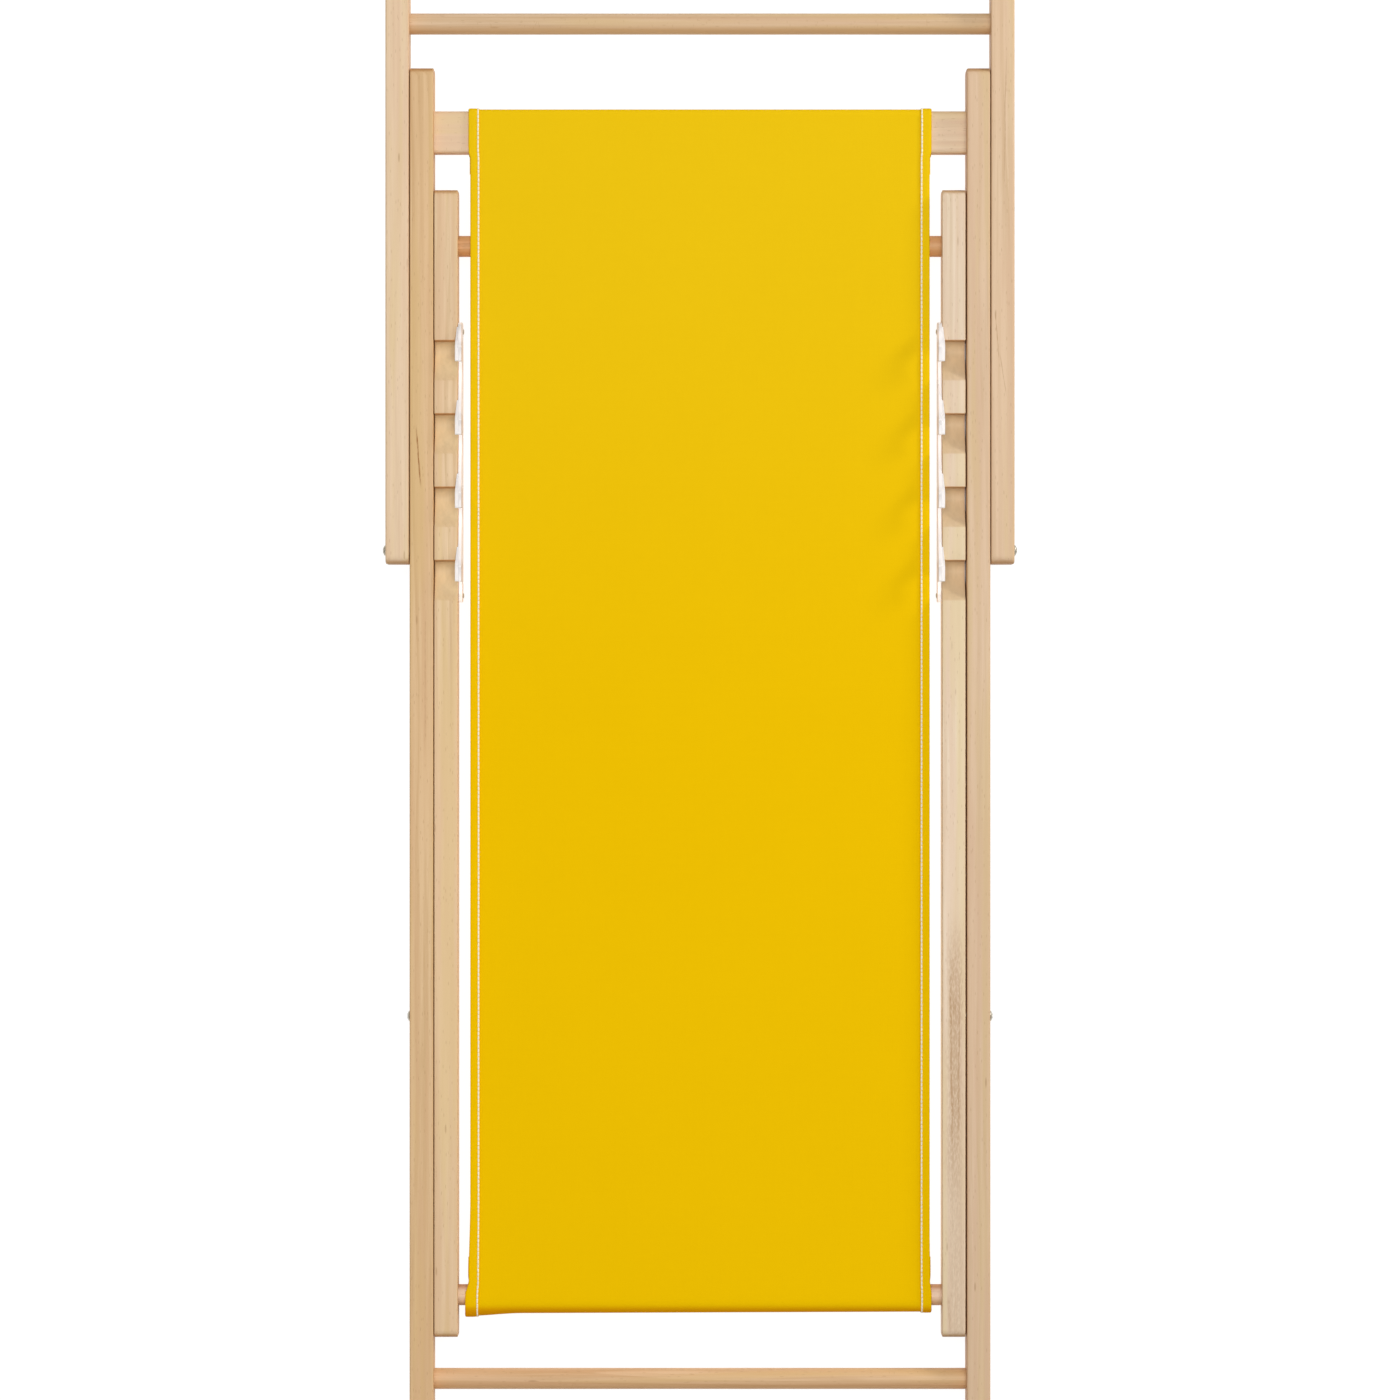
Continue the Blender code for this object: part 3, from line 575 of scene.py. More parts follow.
def notched(y0, y1, r):
    points = arc(y1 - r, RAIL_D - r, r, 0, 90, 7)
    for wall in sorted(NOTCH_WALL_Y, reverse=True):
        # the wall's upper corner is just broken with sandpaper
        c = 0.0011
        points += arc(wall + c, RAIL_D - c, c, 90, 180, 3)
        points += arc(wall - NOTCH_R, NOTCH_SEAT_Z, NOTCH_R, 0, -90, 14)
        # the ramp leaves the round seat without a break
        low = NOTCH_SEAT_Z - NOTCH_R
        for k in range(1, 21):
            t = k / 20.0
            rise = 1.25 * t ** 1.5 - 0.25 * t ** 3
            points.append((wall - NOTCH_R - (NOTCH_LENGTH - NOTCH_R) * t, low + (RAIL_D - low) * rise))
        points[-1] = (points[-1][0], RAIL_D)
    points += arc(y0 + r, RAIL_D - r, r, 90, 180, 7)
    points += arc(y0 + r, r, r, 180, 270, 7)
    points += arc(y1 - r, r, r, 270, 360, 7)
    return points


def clean(loop, tiny=0.00002):
    out = []
    for p in loop:
        if not out or math.hypot(p[0] - out[-1][0], p[1] - out[-1][1]) > tiny:
            out.append(p)
    if math.hypot(out[0][0] - out[-1][0], out[0][1] - out[-1][1]) <= tiny:
        out.pop()
    return out


def drum(x0, x1, y, z, r, segments=48):
    """Closed cylinder along X as a cutter."""
    mesh = bpy.data.meshes.new("cutter")
    bm = bmesh.new()
    bmesh.ops.create_cone(bm, cap_ends=True, segments=segments, radius1=r, radius2=r, depth=abs(x1 - x0),
                          matrix=Matrix.Translation(((x0 + x1) / 2, y, z)) @ Matrix.Rotation(math.pi / 2, 4, "Y"))
    bm.to_mesh(mesh)
    bm.free()
    ob = bpy.data.objects.new("cutter", mesh)
    scene.collection.objects.link(ob)
    return ob


def carve(ob, cutters, operation="DIFFERENCE"):
    """Cut with exact booleans, and keep the result as the piece's own mesh."""
    for tool in cutters:
        mod = ob.modifiers.new("cut", "BOOLEAN")
        mod.operation = operation
        mod.solver = "EXACT"
        mod.object = tool
    bpy.context.view_layer.update()
    graph = bpy.context.evaluated_depsgraph_get()
    mesh = bpy.data.meshes.new_from_object(ob.evaluated_get(graph))
    ob.modifiers.clear()
    old = ob.data
    ob.data = mesh
    mesh.name = old.name
    bpy.data.meshes.remove(old)
    for tool in cutters:
        data = tool.data
        bpy.data.objects.remove(tool, do_unlink=True)
        bpy.data.meshes.remove(data)


def rail(name, loop, x0, x1, r, mat, body, cuts=(), sides=(0.0, 0.0)):
    verts, faces, edge, end, painted_shade = rail_shape(clean(loop), x0, x1, r, sides, ringed=body != "seat_frame")
    ob = make(name, verts, faces, mat, body, [name.replace("wood_", "")])
    # edge weights paint shade along the rounded long edges; end-grain weights darken the end grain and paint shade on
    # ends and notch walls
    put_attribute(ob, "edge", edge)
    put_attribute(ob, "endgrain_and_shade", end)
    if body == "seat_frame":
        # painted shade on the stop faces of the notches, dark down to the corner
        painted_shade = [max(q, 0.9) if any(wall - 0.0004 < y < wall + 0.0008 for wall in NOTCH_WALL_Y) and 0.031 < z < RAIL_D - 0.00005
                   else q for q, (x, y, z) in zip(painted_shade, verts)]
    put_attribute(ob, "painted_shade", painted_shade)
    # painted light and shade on the notch surfaces, strongest deep in the notch
    notch_light_shade = []
    for (x, y, z), q in zip(verts, painted_shade):
        inside = any(wall - NOTCH_LENGTH + 0.0002 < y < wall - 0.0010 for wall in NOTCH_WALL_Y)
        notch_light_shade.append(1.0 - 0.45 * float(smoothstep(0.034, RAIL_D, z)) if body == "seat_frame" and inside and z > 0.024 and q < 0.3 else 0.0)
    put_attribute(ob, "notch_light_shade", notch_light_shade)
    if cuts:
        carve(ob, [drum(*c) for c in cuts])
        ob.data.set_sharp_from_angle(angle=math.radians(35.0))
    return ob


def lathe(name, profile, mat, body, replaces, origin, side=1, segments=64, edge=None, closed=False):
    """Spin (radius, height) about X; height points to +X when side is 1."""
    verts, faces, weights = [], [], []
    rows = []
    for i, (r, h) in enumerate(profile):
        if r < 1e-9:
            rows.append([len(verts)])
            verts.append((origin[0] + side * h, origin[1], origin[2]))
            weights.append(edge[i] if edge else 0.0)
        else:
            row = []
            for k in range(segments):
                a = 2 * math.pi * k / segments
                row.append(len(verts))
                verts.append((origin[0] + side * h, origin[1] + r * math.cos(a), origin[2] + r * math.sin(a)))
                weights.append(edge[i] if edge else 0.0)
            rows.append(row)
    pairs = [(i, i + 1) for i in range(len(rows) - 1)]
    if closed:
        pairs.append((len(rows) - 1, 0))
    for i, j in pairs:
        a, b = rows[i], rows[j]
        for k in range(segments):
            m = (k + 1) % segments
            if len(a) == 1 and len(b) > 1:
                faces.append((a[0], b[k], b[m]))
            elif len(b) == 1 and len(a) > 1:
                faces.append((a[m], a[k], b[0]))
            elif len(a) > 1:
                faces.append((a[m], a[k], b[k], b[m]))
    ob = make(name, verts, faces, mat, body, replaces)
    put_attribute(ob, "edge", weights)
    return ob


# ---------------------------------------------------------------- materials
W = {
    "prop_left": wood("beech_prop_left", (226, 200, 167), 1, heart=(-0.335, -0.030), spacing=0.0034, bands=0.45),
    "back_left": wood("beech_back_left", (218, 184, 139), 2, heart=(-0.210, -0.050), spacing=0.0030, bands=0.60,
                      marks=((-0.2686, -0.2636, 0.262, 0.198, 0.0011, 1.0, 0.0006, 1.30),
                             (-0.2590, -0.2600, 0.10, -0.06, 0.0012, 0.35, 0.0020, 0.8))),
    # seat rails: the notch tone paints light into the left notches and shade into the right ones
    "seat_left": wood("beech_seat_left", (224, 194, 155), 3, heart=(-0.185, -0.020), spacing=0.0036, bands=0.45,
                      notch_paint_tone=(1.04, 1.08, 1.03)),
    "prop_right": wood("beech_prop_right", (218, 190, 157), 4, heart=(0.285, -0.075), spacing=0.0042, bands=0.60, tilt=0.02,
                       marks=((0.2785, 0.2830, 0.372, 0.318, 0.0007, 0.8, 0.0008, 0.75),
                              (0.2830, 0.2900, 0.330, 0.285, 0.0007, 0.7, 0.0008, 0.70),
                              (0.2900, 0.2870, 0.62, 0.48, 0.0009, 0.6, 0.0030, 0.7))),
    "back_right": wood("beech_back_right", (215, 187, 155), 5, heart=(0.330, -0.040), spacing=0.0032, bands=0.45),
    "seat_right": wood("beech_seat_right", (226, 206, 180), 6, heart=(0.300, -0.030), spacing=0.0034, bands=0.50,
                       notch_paint_tone=(0.96, 0.85, 0.67),
                       marks=((0.2362, 0.2388, -0.235, -0.440, 0.0016, 1.0, 0.0022, 1.0),
                              (0.2452, 0.2440, -0.258, -0.430, 0.0013, 1.0, 0.0026, 0.9),
                              (0.2408, 0.2412, -0.265, -0.420, 0.0036, 0.62, 0.0020, 0.55),
                              (0.2396, 0.2400, -0.278, -0.300, 0.0030, 0.85, 0.0030, 0.9),
                              (0.2420, 0.2400, -0.185, -0.490, 0.0120, 0.70, 0.0040, 0.85),
                              (0.2400, 0.2430, -0.400, -0.650, 0.0120, 0.55, 0.0040, 0.60),
                              (0.2350, 0.2362, -0.560, -0.600, 0.0020, 0.45, 0.0020, 0.8))),
    "crossbar": wood("beech_crossbar", (226, 200, 168), 7, along="X", heart=(0.500, -0.040), spacing=0.0038, bands=0.45),
    "prop_bar": wood("beech_prop_bar", (214, 184, 149), 8, along="X", heart=(0.66, -0.050), spacing=0.0032, bands=0.75),
    "rear_dowel": wood("beech_rear_dowel", (212, 165, 117), 9, along="X", heart=(0.40, -0.030), spacing=0.0030, bands=0.55),
    "front_dowel": wood("beech_front_dowel", (234, 208, 182), 10, along="X", heart=(-0.60, -0.030), spacing=0.0030, bands=0.55),
    "foot_dowel": wood("beech_foot_dowel", (221, 184, 143), 11, along="X", heart=(-0.67, -0.040), spacing=0.0034, bands=0.85),
}
CANVAS = canvas("yellow_canvas_weave", (0.886, 0.588, 0.0068), (0.908, 0.568, 0.0003))
TOPSTITCH = thread("cream_topstitch", (255, 250, 232))
TUNNEL_THREAD = thread("yellow_seam_thread", (232, 188, 20))
CLEAR = plastic("clear_moulded_strip")
ZINC = zinc("zinc_plated_steel")
BRASSY = zinc("zinc_yellow_screw", (196, 180, 136), 0.32)

# ---------------------------------------------------------------- rails
# the last tuple of each rail gives the painted shade on its two side faces, darkest in the gaps between rails
for s, word in SIDES:
    rail("wood_seat_rail_" + word, notched(*SEAT_Y, 0.0075), s * SEAT_IN_X, s * (SEAT_OUT_X + (0.00025 if s < 0 else 0.0)), (0.0010, 0.0009 if s < 0 else 0.0010),
         W["seat_" + word], "seat_frame",
         [(s * (SEAT_IN_X - 0.002), s * (SEAT_IN_X + NUT_LENGTH + 2 * GAP), PIVOT_Y, MID_Z, NUT_R + GAP)], (0.40, 0.45 if s < 0 else 0.9))
    rail("wood_back_rail_" + word, fine_box(*BACK_Y, 0.0, RAIL_D, 0.0080), s * (BACK_IN_X - (0.00025 if s < 0 else 0.0)), s * (BACK_OUT_X + 0.00025),
         (0.0010 if s < 0 else 0.0018, 0.0014),
         W["back_" + word], "back_frame",
         [(s * (BACK_IN_X - 0.002), s * (BACK_IN_X + NUT_LENGTH + 2 * GAP), PROP_PIVOT_Y, MID_Z, NUT_R + GAP),
          (s * (BACK_OUT_X - 0.0030), s * (BACK_OUT_X + 0.002), sum(CROSSBAR_Y) / 2, MID_Z, 0.0043)], (0.5 if s < 0 else 0.8, 0.5))
    rail("wood_prop_rail_" + word, fine_box(*PROP_Y, 0.0, RAIL_D, 0.0080), s * (PROP_IN_X - 0.00025), s * PROP_OUT_X, (0.0014, 0.0018),
         W["prop_" + word], "prop_frame", (), (0.5, 0.0))


# ---------------------------------------------------------------- cross pieces
def dowel(name, in_x, y, mat, body, node):
    """Planed round bar; its ends run into the rails."""
    length = in_x + 0.0118
    seg, rows = 56, 60
    verts, faces = [], []
    xs = np.linspace(-length, length, rows + 1)
    for i, x in enumerate(xs):
        for k in range(seg):
            a = 2 * math.pi * k / seg
            r = DOWEL_R * (1.0 - 0.0035 * (1 + math.sin(x * 31.0 + 2.1 * y * 40)) * (1 + math.cos(2 * a + x * 9.0)) * 0.5)
            if i in (0, rows):
                r -= 0.0008
            verts.append((x, y + r * math.cos(a), MID_Z + r * math.sin(a)))
    for i in range(rows):
        for k in range(seg):
            m = (k + 1) % seg
            faces.append((i * seg + k, i * seg + m, (i + 1) * seg + m, (i + 1) * seg + k))
    faces.append(tuple(range(seg)))
    faces.append(tuple(rows * seg + k for k in range(seg))[::-1])
    ob = make(name, verts, faces, mat, body, [node], 40.0)
    put_attribute(ob, "edge", [0.0] * len(verts))
    # painted shade on the side towards the feet
    put_attribute(ob, "under", [0.85 * float(smoothstep(0.05, -0.9, (v[1] - y) / DOWEL_R)) for v in verts])
    # painted shade on the front dowel's faces, where the sling wraps round it
    if node == "seat_front_dowel":
        put_attribute(ob, "painted_shade", [0.85 * float(smoothstep(0.45, 0.92, abs(v[1] - y) / DOWEL_R)) for v in verts])
    return ob


dowel("wood_seat_front_dowel", SEAT_IN_X, SEAT_FRONT_DOWEL_Y, W["front_dowel"], "seat_frame", "seat_front_dowel")
dowel("wood_seat_rear_dowel", SEAT_IN_X, SEAT_REAR_DOWEL_Y, W["rear_dowel"], "seat_frame", "seat_rear_dowel")
dowel("wood_back_foot_dowel", BACK_IN_X, BACK_FOOT_DOWEL_Y, W["foot_dowel"], "back_frame", "back_foot_dowel")
dowel("wood_prop_bar", PROP_IN_X, PROP_BAR_Y, W["prop_bar"], "prop_frame", "prop_bar")


def crossbar():
    loop = fine_box(*CROSSBAR_Y, *CROSSBAR_Z, 0.0034, 6)
    half = BACK_IN_X + 0.0118
    xs = np.linspace(-half, half, 41)
    verts, faces, edge = [], [], []
    for x in xs:
        for y, z in loop:
            verts.append((x, y, z))
            cy = min(y - CROSSBAR_Y[0], CROSSBAR_Y[1] - y)
            cz = min(z - CROSSBAR_Z[0], CROSSBAR_Z[1] - z)
            edge.append(1.0 if max(cy, cz) < 0.0030 else 0.35)
    c = len(loop)
    for i in range(len(xs) - 1):
        for j in range(c):
            k = (j + 1) % c
            faces.append((i * c + j, i * c + k, (i + 1) * c + k, (i + 1) * c + j))
    faces.append(tuple(range(c)))
    faces.append(tuple((len(xs) - 1) * c + j for j in range(c))[::-1])
    ob = make("wood_back_top_crossbar", verts, faces, W["crossbar"], "back_frame", ["back_top_crossbar"])
    # edge weights drive the painted shade along the rounded edges
    put_attribute(ob, "edge", [0.4 * e for e in edge])
    # painted shade on the crossbar's face towards the feet, where the sling runs close
    put_attribute(ob, "painted_shade", [0.75 * float(smoothstep(CROSSBAR_Y[0] + 0.0016, CROSSBAR_Y[0] + 0.0002, v[1])) for v in verts])
    return ob


crossbar()


# ---------------------------------------------------------------- locking strips
def strip_outline():
    y0, y1 = STRIP_END_Y
    low = STRIP_LOW_Z
    walls = sorted(NOTCH_WALL_Y, reverse=True)
    points = [(y1, low + 0.005), (y1, 0.036)]
    points += arc(y1 - 0.010, 0.036, 0.010, 12, 80, 8)
    points += [(walls[0] + 0.002, HOOK_TOP_Z - 0.0015)]
    for k, wall in enumerate(walls):
        bend = wall - HOOK_BEND
        tip = wall - HOOK_REACH
        flat = HOOK_TOP_Z - 0.0005
        points += [(bend + 0.0045, flat - 0.0008), (bend + 0.0016, flat - 0.0002), (bend + 0.0010, HOOK_TOP_Z - 0.0001),
                   (bend, HOOK_TOP_Z), (bend - 0.0010, HOOK_TOP_Z - 0.0001), (bend - 0.0016, flat),
                   (tip + 0.0010, flat), (tip, flat - 0.0009), (tip, HOOK_UNDER_Z)]
        back = wall + GAP
        points += [(back - 0.0030, HOOK_UNDER_Z), (back - 0.0009, HOOK_UNDER_Z - 0.0009), (back, HOOK_UNDER_Z - 0.0028)]
        points += arc(wall - NOTCH_R, NOTCH_SEAT_Z, NOTCH_R + GAP, 0, -90, 10)
        if k < len(walls) - 1:
            points += [(wall - 0.0250, 0.0290), (wall - 0.0280, 0.0304)]
    points += [(walls[-1] - 0.0250, 0.0262)]
    points += arc(y0 + 0.0055, 0.0205, 0.0055, 90, 270, 14)
    points += [(y1 - 0.005, low)]
    points += arc(y1 - 0.005, low + 0.005, 0.005, 280, 350, 6)
    return points


def lip_outline(wall):
    bend = wall - HOOK_BEND
    tip = wall - HOOK_REACH
    z = RAIL_D + 0.0004
    flat = HOOK_TOP_Z - 0.0005
    return [(wall + 0.0130, z), (bend + 0.0045, flat - 0.0010), (bend, flat - 0.0002),
            (tip + 0.0010, flat - 0.0002), (tip + 0.0002, flat - 0.0011),
            (tip + 0.0002, HOOK_UNDER_Z + 0.0002), (wall - 0.0025, HOOK_UNDER_Z + 0.0002),
            (wall + 0.0005, HOOK_UNDER_Z - 0.0020), (wall + 0.0005, z)]


def slab(name, loop, x0, x1, r=0.0, steps=3):
    lo, hi = min(x0, x1), max(x0, x1)
    stations = []
    if r > 0:
        for k in range(steps, -1, -1):
            a = math.radians(90.0 * k / steps)
            stations.append((lo + r * (1 - math.sin(a)), r * (1 - math.cos(a))))
        for k in range(0, steps + 1):
            a = math.radians(90.0 * k / steps)
            stations.append((hi - r * (1 - math.sin(a)), r * (1 - math.cos(a))))
    else:
        stations = [(lo, 0.0), (hi, 0.0)]
    verts, faces = [], []
    c = len(loop)
    for x, d in stations:
        pts = inset(loop, d)[0] if d > 0 else loop
        verts += [(x, y, z) for y, z in pts]
    for i in range(len(stations) - 1):
        for j in range(c):
            k = (j + 1) % c
            faces.append((i * c + j, i * c + k, (i + 1) * c + k, (i + 1) * c + j))
    faces.append(tuple(range(c))[::-1])
    faces.append(tuple((len(stations) - 1) * c + j for j in range(c)))
    mesh = bpy.data.meshes.new(name)
    mesh.from_pydata(verts, [], faces)
    bm = bmesh.new()
    bm.from_mesh(mesh)
    bmesh.ops.recalc_face_normals(bm, faces=bm.faces)
    bm.to_mesh(mesh)
    bm.free()
    ob = bpy.data.objects.new(name, mesh)
    return ob


for s, word in SIDES:
    face = SEAT_IN_X - GAP
    ob = slab("clear_notch_strip_" + word, clean(strip_outline()), s * face, s * (face - PLATE_T), 0.0007)
    pieces.objects.link(ob)
    lips = []
    for wall in NOTCH_WALL_Y:
        lip = slab("lip", clean(lip_outline(wall)), s * (face - 0.0012), s * (SEAT_IN_X + STRIP_LIP), 0.0003)
        # the lip grows out of the ramp, and is full at the hook
        for v in lip.data.vertices:
            out = abs(v.co.x) - face
            if out > 0:
                v.co.x = s * (face + out * (0.40 + 0.60 * float(smoothstep(wall + 0.0130, wall - 0.0060, v.co.y))))
        scene.collection.objects.link(lip)
        lips.append(lip)
    carve(ob, lips, "UNION")
    ob.data.materials.clear()
    ob.data.materials.append(CLEAR)
    ob.data.shade_smooth()
    ob.data.set_sharp_from_angle(angle=math.radians(38.0))
    co = np.empty(len(ob.data.vertices) * 3)
    ob.data.vertices.foreach_get("co", co)
    co = co.reshape(-1, 3)
    # height mask: painted light on the hooks high up, painted glow in the low web
    put_attribute(ob, "edge", smoothstep(0.030, 0.049, co[:, 2]))
    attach(ob, "seat_frame")
    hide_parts("notch_strip_" + word)

# ---------------------------------------------------------------- fasteners
def button_bolt(name, x, y, s, body, node, length):
    """Button head with a hexagon socket."""
    R, H, seg = 0.0052, 0.0028, 48
    verts, faces, edge = [], [], []

    def ring(r, h, w, hexa=0.0):
        row = []
        for k in range(seg):
            a = 2 * math.pi * k / seg
            q = r
            if hexa:
                q = r * (math.cos(math.pi / 6) / math.cos((a % (math.pi / 3)) - math.pi / 6))
            row.append(len(verts))
            verts.append((x + s * h, y + q * math.cos(a), MID_Z + q * math.sin(a)))
            edge.append(w)
        return row

    rows = [ring(0.00135, H - 0.0019, 0.0, 1), ring(0.00175, H - 0.0017, 0.0, 1), ring(0.00175, H - 0.00022, 0.2, 1),
            ring(0.0020, H - 0.00004, 1.0, 1), ring(0.0026, H - 0.00006, 0.6)]
    for i in range(1, 9):
        a = math.radians(22 + 68 * i / 8)
        rows.append(ring(R * math.sin(a), H * (math.cos(a) ** 0.8) * 0.93 + 0.00012, 0.3 if i < 7 else 0.9))
    rows += [ring(R, 0.00002, 1.0), ring(R - 0.0002, -0.0001, 0.2), ring(0.0030, -0.0001, 0.0),
             ring(0.0030, -length + 0.0006, 0.0), ring(0.0024, -length, 0.0)]
    for a, b in zip(rows[:-1], rows[1:]):
        for k in range(seg):
            m = (k + 1) % seg
            faces.append((a[k], a[m], b[m], b[k]))
    faces.append(tuple(rows[0]))
    faces.append(tuple(rows[-1])[::-1])
    ob = make(name, verts, faces, ZINC, body, [node], 40.0)
    put_attribute(ob, "edge", edge)
    return ob


def cross_head(ob, x, y, z, s, size, depth):
    """Sink a cross recess into a screw head."""
    tools = []
    for turn in (0, 1):
        mesh = bpy.data.meshes.new("cutter")
        bm = bmesh.new()
        bmesh.ops.create_cube(bm, size=1.0)
        dims = (depth, size if turn else size * 0.26, size * 0.26 if turn else size)
        bmesh.ops.scale(bm, vec=dims, verts=bm.verts)
        bmesh.ops.rotate(bm, cent=(0, 0, 0), matrix=Matrix.Rotation(math.radians(17), 3, "X"), verts=bm.verts)
        bmesh.ops.translate(bm, vec=(x, y, z), verts=bm.verts)
        bm.to_mesh(mesh)
        bm.free()
        tool = bpy.data.objects.new("cutter", mesh)
        scene.collection.objects.link(tool)
        tools.append(tool)
    carve(ob, tools)
    ob.data.set_sharp_from_angle(angle=math.radians(40.0))


for s, word in SIDES:
    button_bolt("steel_pivot_bolt_" + word, s * (BACK_OUT_X + GAP), PIVOT_Y, s, "seat_frame", "pivot_bolt_" + word,
                BACK_OUT_X + GAP - (SEAT_IN_X + 0.0030))
    button_bolt("steel_prop_bolt_" + word, s * (PROP_OUT_X + GAP), PROP_PIVOT_Y, s, "back_frame", "prop_bolt_" + word,
                PROP_OUT_X + GAP - (BACK_IN_X + 0.0030))
    # flush sleeve nuts with a screwdriver slot
    for node, x, y, body in (("pivot_nut_", SEAT_IN_X, PIVOT_Y, "seat_frame"), ("prop_nut_", BACK_IN_X, PROP_PIVOT_Y, "back_frame")):
        face = s * (x + GAP)
        profile = [(0.0, 0.0), (0.0022, 0.0), (NUT_R - 0.0009, 0.0), (NUT_R - 0.0003, -0.0002), (NUT_R, -0.0007),
                   (NUT_R, -NUT_LENGTH), (0.0, -NUT_LENGTH)]
        nut = lathe("steel_" + node + word, profile, ZINC, body, [node + word], (face, y, MID_Z), -s, 48,
                    [0, 0, 0.6, 1, 0.6, 0, 0])
        cutter = bpy.data.meshes.new("cutter")
        bm = bmesh.new()
        bmesh.ops.create_cube(bm, size=1.0)
        bmesh.ops.scale(bm, vec=(0.0018, 0.0014, 0.013), verts=bm.verts)
        bmesh.ops.rotate(bm, cent=(0, 0, 0), matrix=Matrix.Rotation(math.radians(34), 3, "X"), verts=bm.verts)
        bmesh.ops.translate(bm, vec=(face, y, MID_Z), verts=bm.verts)
        bm.to_mesh(cutter)
        bm.free()
        tool = bpy.data.objects.new("cutter", cutter)
        scene.collection.objects.link(tool)
        carve(nut, [tool])
        nut.data.set_sharp_from_angle(angle=math.radians(40.0))
    # thin washers between the frames keep the CAD shape
    for node in ("pivot_washer_", "prop_washer_"):
        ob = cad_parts[node + word]
        ob.data.materials.clear()
        ob.data.materials.append(ZINC)
    # countersunk screw into the crossbar
    x = s * (BACK_OUT_X - GAP)
    y = sum(CROSSBAR_Y) / 2
    profile = [(0.0, 0.0), (0.0033, 0.0), (0.0039, -0.0001), (0.0040, -0.0004), (0.0021, -0.0026), (0.0020, -0.012), (0.0, -0.012)]
    screw = lathe("steel_crossbar_screw_" + word, profile, BRASSY, "back_frame", ["crossbar_screw_" + word],
                  (x, y, MID_Z), s, 40, [0, 0.2, 1, 0.8, 0, 0, 0])
    cross_head(screw, x, y, MID_Z, s, 0.0044, 0.0030)
    # pan-head screws that hold the locking strip
    for place, y in zip(("lower", "upper"), STRIP_PIN_Y):
        start = SEAT_IN_X - GAP - PLATE_T - GAP
        R, H = 0.0026, 0.0006
        profile = [(0.0, H), (0.0010, H * 0.985), (0.0017, H * 0.88), (0.0022, H * 0.66), (0.0025, H * 0.36), (R, 0.0),
                   (R - 0.0001, -0.0001), (0.0015, -0.0001), (0.0015, -0.008), (0.0, -0.008)]
        screw = lathe("steel_strip_screw_%s_%s" % (place, word), profile, ZINC, "seat_frame",
                      ["strip_screw_%s_%s" % (place, word)], (s * start, y, STRIP_PIN_Z), -s, 36,
                      [0.2, 0.2, 0.3, 0.5, 0.8, 1, 0, 0, 0, 0])
        cross_head(screw, s * (start - H), y, STRIP_PIN_Z, s, 0.0030, 0.0018)

# ---------------------------------------------------------------- sling
CLOTH = 0.0009
PANEL_Z = 0.0319
HALF_W = 0.2174
HEM = 0.0090
STITCH_IN = 0.0077


def bezier(p0, p1, p2, p3, n):
    out = []
    for i in range(n):
        t = i / n
        a, b, c, d = (1 - t) ** 3, 3 * t * (1 - t) ** 2, 3 * t * t * (1 - t), t ** 3
        out.append((a * p0[0] + b * p1[0] + c * p2[0] + d * p3[0], a * p0[1] + b * p1[1] + c * p2[1] + d * p3[1]))
    return out


def sling_path():
    """Middle of the cloth in the (y, z) plane, from tail to tail."""
    under = PANEL_Z - CLOTH - 0.00015
    pts = []
    # tail below the crossbar, sewn to the panel, then round the bar
    pts += [(0.4975, under), (0.5015, under), (0.5055, under), (0.5085, under)]
    pts += bezier((0.5110, under - 0.0001), (0.5148, under - 0.0010), (0.5164, 0.0275), (0.5164, 0.0225), 10)
    pts += bezier((0.5164, 0.0225), (0.5163, 0.0150), (0.5160, 0.0101), (0.5215, 0.0101), 14)
    pts += [(y, 0.0101) for y in np.linspace(0.5215, 0.5535, 9)[:-1]]
    pts += bezier((0.5535, 0.0101), (0.5580, 0.0101), (0.5590, 0.0118), (0.5590, 0.0160), 10)
    pts += [(0.5590, z) for z in np.linspace(0.0160, 0.0262, 5)[:-1]]
    pts += bezier((0.5590, 0.0262), (0.5590, 0.0300), (0.5578, PANEL_Z), (0.5530, PANEL_Z), 12)
    start = len(pts)
    pts += [(y, PANEL_Z) for y in np.linspace(0.5530, -0.5660, 225)[:-1]]
    stop = len(pts)
    # round the front dowel, with a little slack
    pts += bezier((-0.5660, PANEL_Z), (-0.5752, PANEL_Z), (-0.5798, 0.0290), (-0.5798, 0.0215), 18)
    pts += bezier((-0.5798, 0.0215), (-0.5798, 0.0140), (-0.5730, 0.0099), (-0.5650, 0.0099), 14)
    pts += bezier((-0.5650, 0.0099), (-0.5560, 0.0099), (-0.5515, 0.0150), (-0.5490, 0.0215), 12)
    pts += bezier((-0.5490, 0.0215), (-0.5472, 0.0270), (-0.5440, under - 0.0001), (-0.5385, under), 10)
    pts += [(-0.5385, under), (-0.5350, under), (-0.5310, under), (-0.5270, under)]
    return np.array(pts), start, stop


path, front0, front1 = sling_path()
tangent = np.gradient(path, axis=0)
tangent /= np.linalg.norm(tangent, axis=1)[:, None]
outward = np.stack([tangent[:, 1], -tangent[:, 0]], axis=1)
if outward[(front0 + front1) // 2, 1] < 0:
    outward = -outward
travel = np.concatenate([[0.0], np.cumsum(np.linalg.norm(np.diff(path, axis=0), axis=1))])


